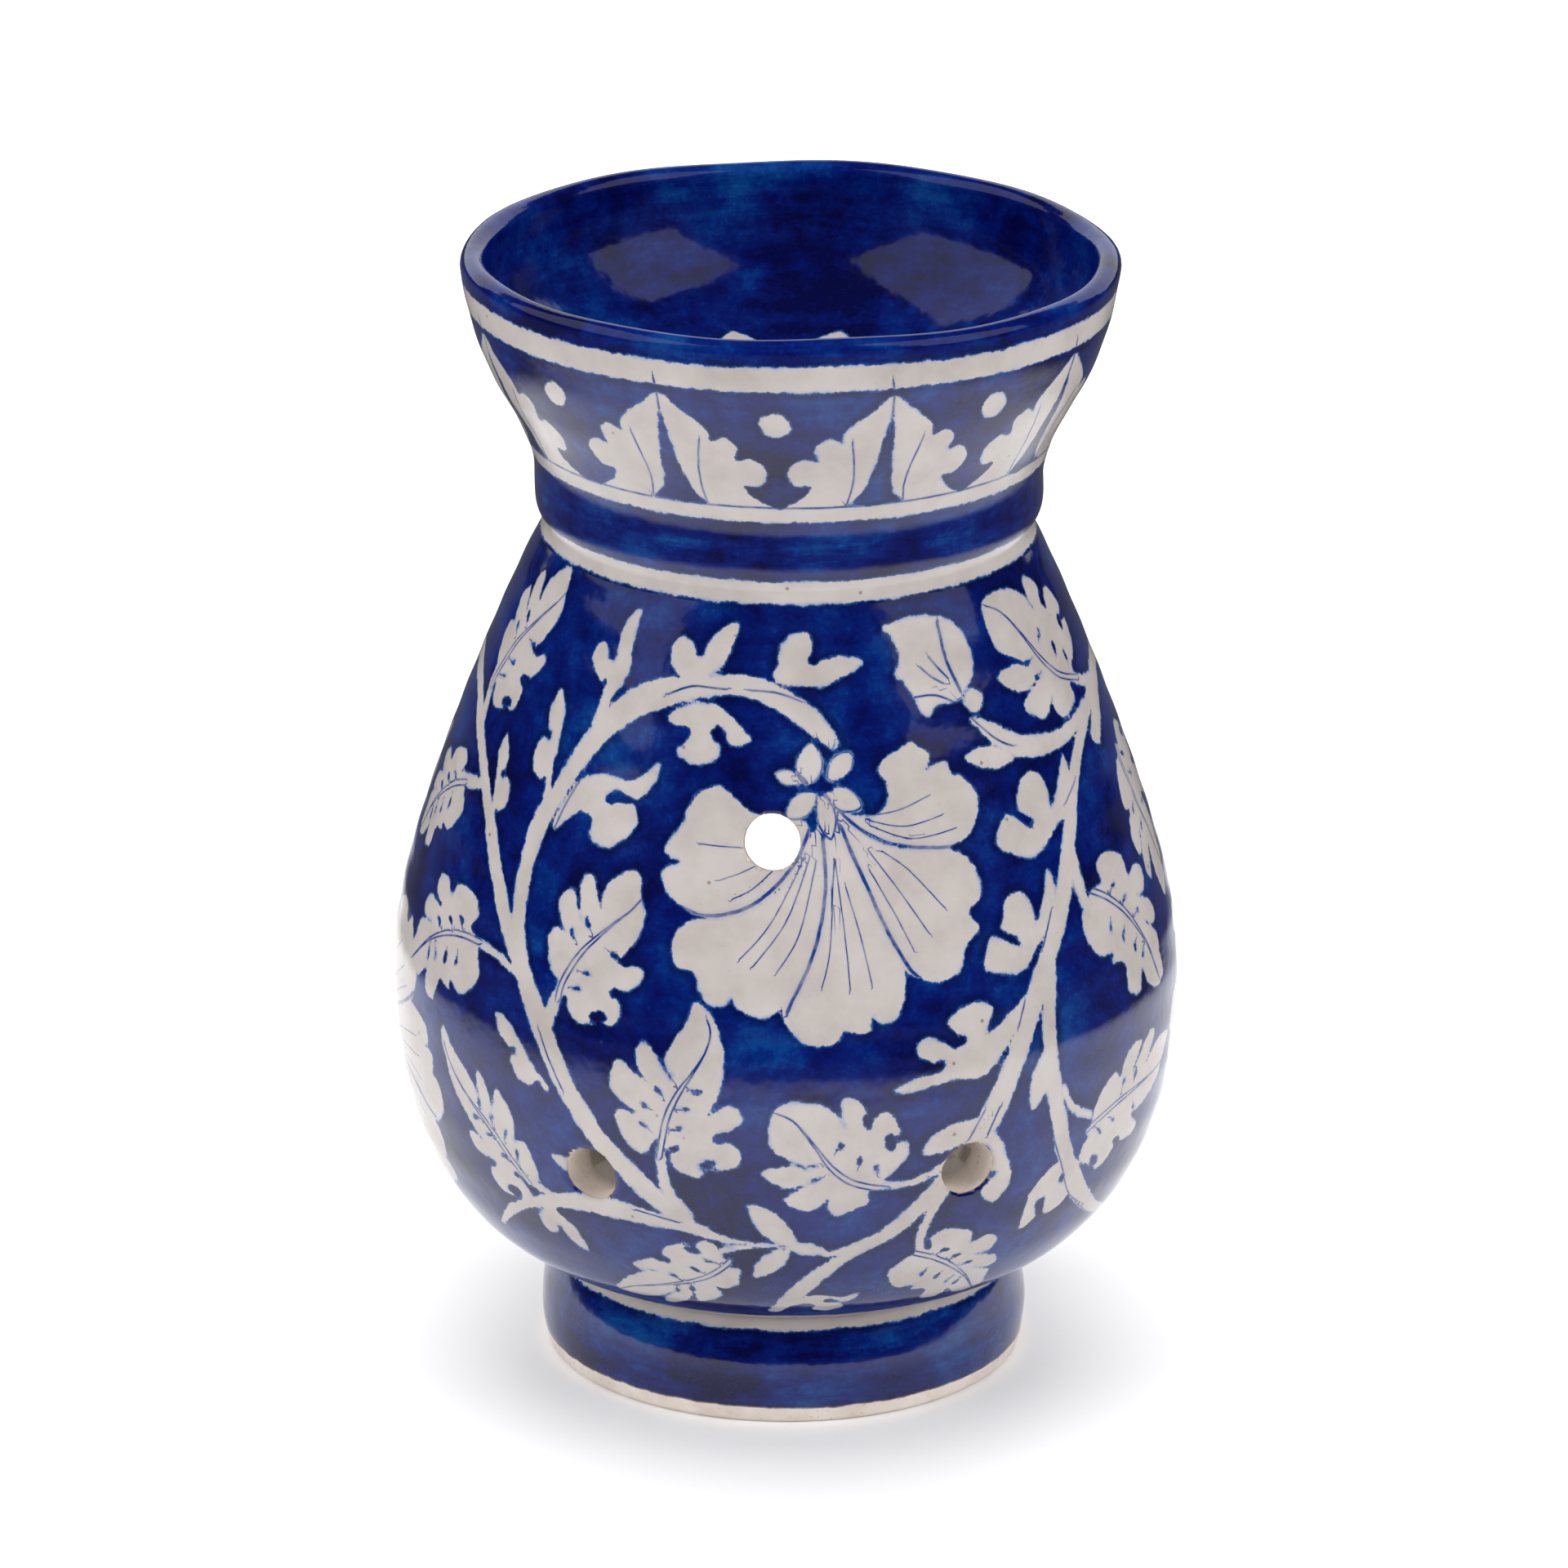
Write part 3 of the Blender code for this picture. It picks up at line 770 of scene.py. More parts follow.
def spot_between(turn, root, tip, flip):
    """The spot at the root, heading for the tip and as large as the way between them.
    Both are (degrees, height)."""
    across = math.radians(tip[0] - root[0]) * radius_at(tip[1])
    up = run_at(tip[1]) - run_at(root[1])
    heading = math.degrees(math.atan2(up, across))
    return Spot(root[0] + turn, root[1], heading, math.hypot(across, up), flip)


# A leaf's double vein, its eyelets and the short tail of each, in mm.
VEIN_GAPS = (0.36, 0.36, 0.30, 0.12, 0, 0, 0)
VEIN_WIDTH = 0.24
EYELET = (0.66, 0.36)
EYELET_LEAN = 52
TAIL = (0.46, 0.24)
TAIL_AWAY = 0.55
TAIL_REACH = 1.2
TAIL_LINE = 0.14


def leaf(turn, base, tip, kind, wide=1.0):
    """A lobed leaf with a double vein and dark eyelets. A negative width turns it over."""
    outline, vein, eyelets = (drawn(part, abs(wide)) for part in LEAVES_DRAWN[kind])
    spot = spot_between(turn, base, tip, math.copysign(1, wide))
    length = spot.size
    leave_white(spot, outline)
    draw_line(spot, [(x, y, gap / length) for (x, y), gap in zip(vein, VEIN_GAPS)], VEIN_WIDTH)
    middle = smooth(vein)
    for x, y, *large in eyelets:
        grow = large[0] if large else 1.0
        lean = EYELET_LEAN if y > 0 else -EYELET_LEAN
        paint_blob(spot, x, y, EYELET[0] * grow / length, EYELET[1] * grow / length, lean)
        if not large:
            ahead = middle[np.argmin((middle[:, 0] - x + 0.05) ** 2 + (middle[:, 1] - y) ** 2)]
            way = np.array([ahead[0] - x, ahead[1] - y])
            way /= max(np.hypot(*way), 1e-6)
            paint_blob(spot, x + TAIL_AWAY * way[0] / length, y + TAIL_AWAY * way[1] / length,
                       TAIL[0] / length, TAIL[1] / length, math.degrees(math.atan2(way[1], way[0])))
            draw_line(spot, [(x, y), (x + TAIL_REACH * way[0] / length,
                                      y + TAIL_REACH * way[1] / length)], TAIL_LINE)


# Sprigs lie along x from the stem at 0 to the tip at 100. Each has an outline and its dark
# eyes, as (x, y, size).
SPRIGS_DRAWN = {
    "flame": (
        ((100, 0), (85, 8.5), (71, 8), (62, 5), (56, 7), (60, 13), (67, 19), (62, 26), (52, 26),
         (42, 17), (39, 11), (41, 6), (24, 5.5), (0, 4.5), (0, -3), (18, -3), (32, -4), (44, -8),
         (57, -9), (75, -4)),
        ((61, 10, 5.5),),
    ),
    "heart": (
        ((100, 0), (97, 8), (72, 17.5), (52, 18), (37, 15), (33, 22), (42, 34), (42, 53),
         (24, 59), (7, 50), (-2, 36), (-5, 24), (-14, 12), (-6, -3), (20, -9), (44, -16),
         (61, -14), (85, -8)),
        ((40, 20, 7),),
    ),
    "trident": (
        ((0, 0), (14, 15), (31, 24), (51, 28), (70, 21), (89, 10), (100, 2), (81, -9), (69, 3),
         (59, 9), (55, -2), (62, -10), (71, -17), (67, -30), (55, -39), (36, -39), (25, -33),
         (31, -20), (32, -9), (26, -5), (8, -7)),
        ((60, -1, 7), (27, -11, 4.5)),
    ),
    "sail": (
        ((100, 0), (90, -1), (75, 0), (55, 16), (36, 21), (16, 13), (3, 4), (0, -2), (6, -2),
         (22, 0), (32, -4), (35, -12), (28, -21), (31, -30), (42, -38), (64, -34), (70, -22),
         (66, -15), (56, -8), (56, 0), (64, -2), (69, -10), (76, -16.5), (92, -10)),
        ((56, -4, 6), (66, -10, 3.5), (30, -12, 4.5)),
    ),
    "pod": (
        ((100, 0), (82, -8), (57, -7), (36, -4.5), (6, -4.5), (2, 3), (19, 3), (18, 10),
         (24.5, 20), (38, 23), (51, 19), (55, 12), (51, 6), (58, 2), (64, 9), (78, 11), (91, 7)),
        ((57.5, 7, 5.5),),
    ),
    "claw": (
        ((0, 0), (13.5, 1), (28, 3), (35, 1.5), (24, -7), (27.5, -15), (39, -20), (52, -17),
         (50, -8), (54, -1), (58, -5), (64.5, -14.5), (73.5, -17), (77, -10), (71, -1), (71, 5),
         (78, 2), (88, 0), (100, 0), (87, 7.5), (64.5, 14.5), (50, 23), (36.5, 20), (18, 12.5),
         (4, 8)),
        ((51, -4, 4.5), (69.5, 1.5, 4.5)),
    ),
    "mitten": (
        ((-15, -31), (9, -12), (28, 0), (24, -15), (24, -32), (36, -40), (49, -36), (64, -19),
         (57, -8), (56, 6), (64, -3), (78, -18), (93, -10), (101, 1), (90, 14), (72, 25),
         (52, 23), (32, 15), (13, 12), (-10, -10)),
        ((58.5, -2, 5.5),),
    ),
    "bud": (
        ((0, 0), (20, 12), (50, 19), (80, 12), (100, 0), (80, -14), (50, -19), (20, -12)),
        (),
    ),
}


def sprig(turn, root, tip, kind, flip=1):
    """A curled leaflet with dark eyes between its lobes."""
    outline, eyes = map(drawn, SPRIGS_DRAWN[kind])
    spot = spot_between(turn, root, tip, flip)
    leave_white(spot, outline)
    for x, y, size in eyes:
        paint_blob(spot, x, y, size / 100, size / 100 * 0.8)


# ---------------------------------------------------------------- the large flower
PETALS = (
    ((3, 84.6), (-3, 85.0), (-6, 85.6), (-8.5, 86.8), (-12, 88.2), (-15.5, 87.2), (-17, 85.4),
     (-17.6, 83.6), (-19.4, 81.7), (-20.2, 80.1), (-17.4, 79.2), (-20, 78.2), (-19.5, 75.9),
     (-16, 73.9), (-13, 73.1), (-8, 73.4), (-4, 74.8), (0, 77.6), (3.5, 81.5)),
    ((4, 83), (0, 78), (-4, 75), (-9, 73.4), (-14, 72.8), (-16.6, 71.6), (-17.6, 69.4),
     (-16.8, 67.4), (-15, 66.7), (-13.6, 66.5), (-12.6, 64.3), (-11, 63), (-8.9, 63), (-8, 64),
     (-6.8, 62.5), (-3.5, 61.7), (-1, 62.5), (1, 64.5), (3.5, 68), (5.5, 73), (6.5, 79), (6, 83)),
    ((5, 84), (4.4, 75), (3.2, 70), (0.6, 65), (-0.6, 62.4), (0.6, 60.3), (3, 58.5), (6, 58.2),
     (7.8, 58.9), (8.3, 60), (10, 59.5), (12.2, 59.9), (12.6, 61.9), (13.6, 60.7), (16, 61),
     (17.4, 63), (17.9, 66), (17, 69.5), (14, 74.5), (10, 82)),
    ((6.4, 84), (11.2, 77), (15.2, 70.5), (17.4, 67), (20.5, 65.3), (23.5, 64.8), (26.5, 65.8),
     (28, 68.4), (30.8, 70.4), (29.2, 72.3), (31.6, 73.8), (32, 75.6), (30.8, 78.4), (27.5, 80),
     (23, 80.5), (17, 81.3), (12, 83.3), (9, 86)),
    ((9, 85.6), (12, 85.0), (15.4, 84.9), (17.6, 86.6), (17.5, 88.6), (16.2, 90), (17.5, 91.3),
     (20, 92), (23, 92.7), (25, 91.8), (26.5, 91), (25.2, 89.5), (27, 89.8), (29.4, 90),
     (30, 88.5), (32, 88), (33.7, 86.5), (34.4, 85), (33, 82.3), (30, 80.7), (26, 80.3), (20, 81),
     (14, 82.8)),
)
PETAL_LINES = (
    # round the flower from the left, each drawn the other way from the last
    (((-14.5, 81.5), (-11, 81.4), (-7.5, 81.4)), 0.15),
    (((-2, 80.6), (-7, 78.6), (-11, 77.4)), 0.13),
    (((-8.5, 75.4), (-5.5, 76.6), (-2, 79)), 0.15),
    (((4, 84), (2, 80.6), (-1, 77.6), (-5, 75), (-9, 73.7), (-13, 73.3), (-16, 73.9)), 0.44),
    (((-7, 68.4), (-2.5, 72.6), (3, 80.5)), 0.15),
    (((3.8, 80.5), (0, 73), (-5, 67.6)), 0.16),
    (((-1.5, 66.9), (2, 71.5), (4.8, 80)), 0.15),
    (((6, 83), (6.2, 77), (5, 71.5), (3, 67), (0.9, 63.6), (0.2, 62.2)), 0.44),
    (((5.3, 65.2), (6.7, 70), (7.6, 80)), 0.15),
    (((7.9, 80), (9, 71), (9.5, 64.6)), 0.15),
    (((12.8, 65), (11.4, 71), (9.4, 77)), 0.15),
    (((9, 84), (13, 76.5), (16, 70.8), (18.5, 67), (19.8, 65.8)), 0.44),
    (((19.6, 68.8), (16.6, 74), (13.2, 79)), 0.15),
    (((13.4, 81), (18, 76.0), (22.4, 70.4)), 0.15),
    (((25.4, 73.2), (20, 78.2), (15.6, 80.8)), 0.15),
    (((9.5, 85.2), (13, 83.1), (17, 81.6), (22, 80.7), (28, 80.2)), 0.40),
    (((29, 82.2), (21, 81.8), (14, 83.8)), 0.15),
    (((13.4, 84.5), (20, 83.3), (27, 84)), 0.15),
    (((25, 86.4), (19, 85.2), (13.4, 84.9)), 0.15),
)
SEPALS = (
    ((3.4, 88.6), (4.6, 93.6), 1.75, 0.95),
    ((7.2, 89.2), (11.9, 92.2), 1.35, 1.0),
    ((3.6, 89.0), (-2.2, 89.9), 0.9, 1.3),
    ((5.3, 87.9), (-0.1, 85.0), 1.35, 1.1),
    ((6.5, 88.0), (12.9, 86.0), 1.35, 1.1),
    ((6.0, 88.0), (7.3, 82.4), 1.15, 1.0),
)
SEPAL_LINE = 0.26
SEPAL_DEGREE = 0.72
FLOWER_EYES = ((5.9, 88.4, 2.3, 0.55, -4), (5.9, 88.8, 0.55, 1.3))
FLOWER_TURN = 6.0
FLOWER_HEIGHT = 84.0
DEGREE = 0.80


def sepal_outline(root, tip, half, fullness):
    """A lobe whose ends are given as (degrees, height)."""
    ends = [(end[0] * SEPAL_DEGREE, end[1]) for end in (root, tip)]
    return egg(*ends, half, fullness) / [SEPAL_DEGREE, 1]


def flower(pot_like):
    """The large open flower. Its points are (degrees, height) at the front of the pot."""
    for petal in PETALS:
        leave_white(pot_like, petal)
    for line, width in PETAL_LINES:
        draw_line(pot_like, line, width)
    for root, tip, half, fullness in SEPALS:
        sepal = sepal_outline(root, tip, half, fullness)
        draw_line(pot_like, sepal, SEPAL_LINE)
        leave_white(pot_like, sepal, False)
    for touch in FLOWER_EYES:
        paint_blob(pot_like, *touch)


class Turned(Spot):
    """The front flower's points, carried to another spot and turned there."""

    def flat(self, points):
        points = np.asarray(points, float).copy()
        points[:, 0] = (points[:, 0] - FLOWER_TURN) * DEGREE
        points[:, 1] = points[:, 1] - FLOWER_HEIGHT
        return super().flat(points)


SPRIGS = (
    ((-37.8, 91.6), (-34.0, 106.8), "flame", 1),
    ((-18.4, 99.4), (-10.6, 106.7), "heart", 1),
    ((-0.4, 100.4), (15.0, 102.1), "heart", 1),
    ((-23.2, 95.6), (-6.8, 93.4), "trident", 1),
    ((-42.0, 80.2), (-23.4, 90.0), "sail", 1),
    ((-45.2, 83.0), (-48.6, 95.6), "pod", 1),
    ((-56.4, 77.4), (-60.2, 88.0), "pod", -1),
    ((-35.6, 48.6), (-46.0, 56.8), "pod", 1),
    ((-37.6, 31.8), (-33.0, 26.4), "heart", -1),
    ((2.0, 30.6), (-5.2, 37.0), "bud", 1),
    ((0.8, 30.8), (-4.8, 25.6), "bud", 1),
    ((0.4, 30.8), (6.6, 30.0), "bud", 1),
    ((0.6, 20.0), (12.8, 22.2), "sail", 1),
    ((37.4, 61.2), (15.4, 52.0), "claw", 1),
    ((29.2, 46.6), (19.8, 43.2), "bud", 1),
    ((31.0, 44.4), (32.6, 34.4), "mitten", 1),
    ((40.4, 54.0), (37.8, 46.2), "bud", 1),
    ((46.4, 38.0), (39.6, 28.4), "trident", -1),
    ((55.2, 82.2), (36.6, 79.4), "mitten", 1),
    ((45.4, 70.6), (30.8, 65.6), "mitten", 1),
    ((44.6, 88.6), (33.4, 89.9), "bud", 1),
    ((-31.0, 38.2), (-36.0, 40.0), "bud", 1),
)


# ---------------------------------------------------------------- stems, leaves and the bud
STEMS = (
    ((-1, 30.9, 0.4), (-8, 31.4, 0.9), (-14, 33.2, 1.9), (-19, 36.8, 2.6), (-24, 40.8, 2.7),
     (-28.6, 45, 2.7), (-33, 50.4, 2.9), (-37, 56.4, 3.2), (-40.6, 61, 2.9), (-43.8, 65.6, 2.5),
     (-45.4, 71, 2.2), (-45.7, 76, 2.4), (-45, 80.4, 2.6), (-42, 85.4, 2.2), (-38.4, 90.4, 2.5),
     (-32.6, 95.2, 3.2), (-25, 98.0, 3.4), (-17, 99.2, 2.4), (-9, 99.8, 2.6), (-2, 98.6, 2.8),
     (4, 96.2, 2.7), (8.2, 93.6, 1.6)),
    ((-38, 57.6, 1.6), (-41.6, 62, 2.4), (-47, 67.4, 2.4), (-52.4, 73.2, 2.5), (-57, 77.8, 2.3),
     (-63, 82.4, 2.2), (-71, 87, 2.3), (-80, 90.8, 2.4), (-90, 92.6, 2.4), (-100, 91, 2.2),
     (-110, 86, 2.0)),
    ((-12, 32.8, 1.4), (-20, 33.6, 2.2), (-27, 34.2, 2.8), (-34, 33.8, 2.4), (-41, 32.0, 1.7),
     (-47.5, 29.2, 1.7), (-53, 25.6, 0.9)),
    ((6.4, 29.4, 0.8), (12, 30.6, 1.8), (17, 33.0, 2.1), (22, 37.2, 2.5), (27, 42, 3.0),
     (31, 47.4, 3.4), (33.6, 52, 3.0), (37, 58, 3.0), (41, 63.4, 3.0), (45.4, 68.4, 3.0),
     (49.4, 73.4, 3.0), (53.6, 79, 2.6), (58, 83.6, 2.5), (64, 87.2, 2.3), (72, 90, 2.3),
     (80, 91.4, 2.4), (90, 92.4, 2.2), (98, 91, 1.6)),
    ((44, 67.6, 1.4), (41.8, 61.6, 2.1), (40.8, 56, 2.1), (41.2, 50.6, 2.3), (42.8, 44.6, 2.5),
     (45, 39.2, 2.6), (48, 35, 3.2), (52, 31, 3.2), (58, 27.4, 2.6), (66, 24.4, 2.2),
     (76, 21.8, 1.8), (86, 20.4, 0.9)),
    ((36.6, 94, 0.5), (41, 91.8, 2.2), (46, 89.6, 2.5), (54, 88.6, 2.4), (62, 88.9, 2.0),
     (70, 90.2, 1.4)),
    ((17, 33.4, 1.4), (10, 29.2, 1.5), (5, 25.6, 2.2), (1.6, 22, 2.6), (-1.6, 18.8, 1.4)),
    ((-3, 31, 0.5), (-8, 30.2, 0.8), (-13, 28.6, 0.9), (-18, 26.4, 0.9)),
    ((-14.6, 34.6, 1.8), (-17.4, 38.6, 1.5), (-17.9, 43, 1.2)),
    ((24.5, 41.4, 1.4), (19, 39.4, 1.0), (14, 39.4, 0.9)),
    ((-36.2, 57, 1.4), (-35.4, 60.4, 1.5), (-33.6, 64, 1.2)),
    ((-29, 34.6, 1.2), (-36, 33.8, 1.1), (-42, 35.4, 1.0)),
    ((-43, 62.2, 1.0), (-48, 63.6, 1.0), (-54, 64.0, 1.0)),
    ((-70.6, 86.8, 1.6), (-72.4, 91, 1.5), (-72.6, 95.4, 1.3)),
    ((82, 91.6, 1.2), (74, 92.4, 1.3), (67, 94.6, 1.1)),
    ((53, 78.6, 1.6), (51.8, 73.6, 1.8), (52.6, 69, 1.4), (55, 65.6, 1.0)),
    ((43.4, 47.8, 0.9), (46, 44.6, 1.1), (50, 42.6, 1.0)),
    ((24, 37.4, 1.2), (21.6, 33.4, 1.3), (21.2, 29.6, 1.2), (23, 26, 1.0)),
    ((-62, 81.4, 1.2), (-68, 80.6, 1.5), (-74, 80, 1.3)),
)
STEM_LINES = (
    ((-24, 97.9), (-19, 99.2), (-12, 99.2)),
    ((-7.6, 99.3), (-2, 99.1), (2.6, 98.2)),
    ((5.6, 94.0), (7.2, 92.2)),
    ((8.6, 93.2), (7.4, 91.2)),
    ((-41.6, 80.2), (-40.6, 83), (-38.8, 86)),
    ((-37.6, 56.4), (-35.6, 53), (-33.2, 49.4)),
    ((-22.4, 34.6), (-16, 33.6)),
    ((27, 44), (29.4, 47.6)),
    ((30.2, 44.4), (32, 47.8)),
    ((41.6, 66.2), (44.6, 70)),
    ((35.4, 57.6), (36.8, 60.4)),
    ((42.4, 41.4), (45.4, 36.4), (49, 31.6), (55, 28.4)),
    ((51.6, 29.6), (60, 25.6), (70, 22.8)),
    ((54, 81.4), (58, 83.2)),
    ((36, 94.6), (41, 91.2), (44.6, 89.8)),
)
LEAVES = (
    ((-18.0, 43.2), (-13.4, 63.0), "long", 0.98),
    ((14.6, 39.0), (-2.0, 49.0), "broad", 1.05),
    ((-35.0, 61.2), (-23.0, 74.2), "folded", 1.0),
    ((-41.6, 34.8), (-58.4, 51.8), "long", -0.56),
    ((-52.6, 64.0), (-71.4, 57.4), "spread", 0.95),
    ((-72.4, 92.0), (-57.2, 105.6), "folded", 0.86),
    ((71.0, 93.6), (46.6, 105.2), "broad", 1.12),
    ((54.4, 70.4), (70.4, 55.2), "spread", -0.82),
    ((49.0, 40.2), (72.4, 43.4), "folded", 0.72),
    ((-8.0, 28.6), (-30.6, 19.4), "broad", 0.66),
    ((20.4, 28.4), (38.0, 19.0), "spread", -0.90),
    ((-69.0, 80.0), (-85.0, 70.4), "spread", 0.80),
    ((78.6, 83.6), (84.4, 66.0), "folded", -0.88),
)
BUD = (
    (20.8, 105.9), (26, 106.5), (32, 106.4), (36, 105.7), (39, 104), (40.3, 101.4), (39.5, 99),
    (37, 97.7), (34.5, 96.4), (30, 96.4), (27, 95.4), (25.2, 97.6), (23.6, 99.6), (22.2, 100.3),
    (23.4, 102.5), (22.4, 104.5),
)
BUD_LINES = (
    (((25, 97.7), (30, 97.5), (35, 95.8)), 0.26),
    (((33.8, 105.6), (33.7, 101.5), (35.6, 97.4)), 0.42),
    (((27.4, 101.0), (29.8, 99.6), (32, 98.7)), 0.24),
    (((33.4, 99.1), (31.4, 100.6), (29.8, 102.0)), 0.24),
)


BUD_STALK = (
    (35.6, 96.2), (36.8, 97.2), (38.6, 97.3), (40.4, 96.4), (39.2, 95.0), (37.0, 94.9),
)
STEM_LINE = 0.24
BACK_FLOWER_LIFT = 2.4


def spray(turn):
    """Stems, leaves, sprigs, bud and flower of one side of the pot."""
    pot = Pot(turn, 60)
    for stem in STEMS:
        leave_ribbon(pot, stem)
    for line in STEM_LINES:
        draw_line(pot, line, STEM_LINE)
    for base, tip, kind, wide in LEAVES:
        leaf(turn, base, tip, kind, wide)
    for root, tip, kind, flip in SPRIGS:
        sprig(turn, root, tip, kind, flip)
    leave_white(pot, BUD)
    leave_white(pot, BUD_STALK)
    for line, width in BUD_LINES:
        draw_line(pot, line, width)
    flower(Pot(turn, 60, BACK_FLOWER_LIFT if turn else 0.0))


spray(0)
spray(180)
flower(Turned(-90, 42, 90, 0.98))
flower(Turned(103, 45, -96, 0.92))


# ---------------------------------------------------------------- the leaf frieze under the rim
FRIEZE_TURNS = (-70.5, -23.5, 18.5, 60.5, 106, 152, 198, 244)
FRIEZE_SIDE = (
    (0, 137.7), (3.4, 136.0), (8.4, 133.2), (8.9, 131.4), (11.4, 132.2), (13.9, 130.9),
    (13.3, 128.9), (16.4, 129.2), (19.0, 127.8), (18.8, 126.1), (17.2, 125.1), (14.4, 125.0),
    (15.6, 123.6), (19.4, 122.2), (21.6, 121.4), (21.0, 120.4),
)
WEDGE_SIDE = ((0, 135.6), (1.2, 131), (2.2, 126.4), (3.4, 123.8), (5.3, 122.6), (5.5, 121.9))
FRIEZE_VEIN = ((6.9, 131.6), (5.8, 127.5), (5.6, 124.5), (6.3, 122.1))
FRIEZE_TIP = ((0, 135.4), (-0.1, 137.5), (-0.4, 139.6))
DOT_HEIGHT = 134.2
DOT_DEGREES = 2.75
DOT_TALL = 1.65


def mirrored(side):
    """A closed outline from one of its sides."""
    return [*side, *[(-deg, height) for deg, height in side[::-1] if deg]]


def frieze():
    """Pairs of half leaves round a dark wedge, with a dot in each gap."""
    draw = np.random.default_rng(5)
    for turn, following in zip(FRIEZE_TURNS, (*FRIEZE_TURNS[1:], FRIEZE_TURNS[0] + 360)):
        stretch = 1 + draw.uniform(-0.03, 0.03)
        pot = Pot(turn, 130)
        leave_white(pot, [(deg * stretch, height) for deg, height in mirrored(FRIEZE_SIDE)])
        paint_dark(pot, mirrored(WEDGE_SIDE))
        for side in (-1, 1):
            draw_line(pot, [(side * deg, height) for deg, height in FRIEZE_VEIN], STEM_LINE)
        draw_line(pot, FRIEZE_TIP, LINE_WIDTH)
        gap = Pot((turn + following) / 2, 134)
        lean = draw.uniform(-0.5, 0.5)
        leave_white(gap, [(DOT_DEGREES * math.cos(a) + lean * math.sin(a),
                           DOT_HEIGHT + DOT_TALL * math.sin(a))
                          for a in np.radians(np.arange(0, 360, 45))])


frieze()

# Heights of the white bands' two edges, and of the thin lines drawn round the pot.
BANDS = ((12.4, 16.3), (109.0, 111.9), (119.8, 121.75), (138.7, 141.9))
BAND_LINES = (121.9,)


# ============================================================ painting: distances over the surface
def beside(x, y, start, end):
    """How far along a straight run each point lies, from 0 to 1, how far off it, and its side."""
    ex, ey = end[0] - start[0], end[1] - start[1]
    wx, wy = x - start[0], y - start[1]
    along = np.clip((wx * ex + wy * ey) / max(ex * ex + ey * ey, 1e-12), 0, 1)
    side = np.where(ex * wy - ey * wx < 0, -1, 1)
    return along, np.hypot(wx - ex * along, wy - ey * along), side


def area_distance(x, y, outline):
    """Distance inside (positive) or outside (negative) a closed outline."""
    nearest = np.full(x.shape, 1e9)
    inside = np.zeros(x.shape, bool)
    for start, end in zip(outline[:, :2], np.roll(outline[:, :2], -1, 0)):
        nearest = np.minimum(nearest, beside(x, y, start, end)[1])
        if start[1] != end[1]:
            crossing = start[0] + (end[0] - start[0]) * (y - start[1]) / (end[1] - start[1])
            inside ^= ((start[1] > y) != (end[1] > y)) & (x < crossing)
    return nearest * np.where(inside, 1, -1)


def ribbon_distance(x, y, stations):
    """The same for a stroke of changing width."""
    best = np.full(x.shape, -1e9)
    for start, end in zip(stations[:-1], stations[1:]):
        along, gap, _ = beside(x, y, start, end)
        best = np.maximum(best, (start[2] + (end[2] - start[2]) * along) / 2 - gap)
    return best


def nearest_on(line, values, x, y):
    """Distance from an open line, the value there, and the side of the line."""
    best = np.full(x.shape, 1e9)
    value = np.zeros(x.shape)
    sides = np.ones(x.shape)
    for start, end, low, high in zip(line[:-1], line[1:], values[:-1], values[1:]):
        along, gap, side = beside(x, y, start, end)
        closer = gap < best
        best = np.where(closer, gap, best)
        value = np.where(closer, low + along * (high - low), value)
        sides = np.where(closer, side, sides)
    return best, value, sides


# No distance is kept past FAR. A shape is looked at within REACH of itself.
FAR = 9.0
REACH = 3.2
LINE_REACH = 1.8


class Canvas:
    """The painted fields over one piece's points, given as turn, run and radius."""

    def __init__(self, turn, run, radius):
        self.turn = turn
        self.run = run
        self.radius = radius
        self.white = np.full(len(turn), -FAR)
        self.stroke = np.full(len(turn), FAR)
        self.apart = np.zeros(len(turn))
        for low, high in BANDS:
            middle = (run_at(low) + run_at(high)) / 2
            half = (run_at(high) - run_at(low)) / 2
            self.white = np.maximum(self.white, half - np.abs(run - middle))

    def near(self, anchor, shape, reach):
        """Points close to a shape, and where they are about its anchor."""
        x = ((self.turn - anchor[0] + math.pi) % (2 * math.pi) - math.pi) * self.radius
        y = self.run - anchor[1]
        low = shape[:, :2].min(0) - reach
        high = shape[:, :2].max(0) + reach
        chosen = np.nonzero((x > low[0]) & (x < high[0]) & (y > low[1]) & (y < high[1]))[0]
        return chosen, x[chosen], y[chosen]

    def paint(self):
        """Lays down the white shapes, the dark ones and the lines, in that order."""
        for sign, shapes in ((1, WHITES), (-1, DARKS)):
            for anchor, kind, shape in shapes:
                chosen, x, y = self.near(anchor, shape, REACH)
                if not len(chosen):
                    continue
                distance = ribbon_distance if kind == "ribbon" else area_distance
                inside = distance(x, y, shape)
                if sign > 0:
                    self.white[chosen] = np.maximum(self.white[chosen], inside)
                else:
                    self.white[chosen] = np.minimum(self.white[chosen], -inside)
        for anchor, shape, width in LINES:
            chosen, x, y = self.near(anchor, shape, LINE_REACH)
            if not len(chosen):
                continue
            gaps = shape[:, 2] if shape.shape[1] > 2 else np.zeros(len(shape))
            gap, apart, side = nearest_on(shape, gaps, x, y)
            scale = LINE_WIDTH / width
            gap = gap * side * scale
            closer = np.abs(gap) < np.abs(self.stroke[chosen])
            self.stroke[chosen] = np.where(closer, gap, self.stroke[chosen])
            self.apart[chosen] = np.where(closer, apart * scale, self.apart[chosen])
        for height in BAND_LINES:
            gap = self.run - run_at(height)
            self.stroke = np.where(np.abs(gap) < np.abs(self.stroke), gap, self.stroke)


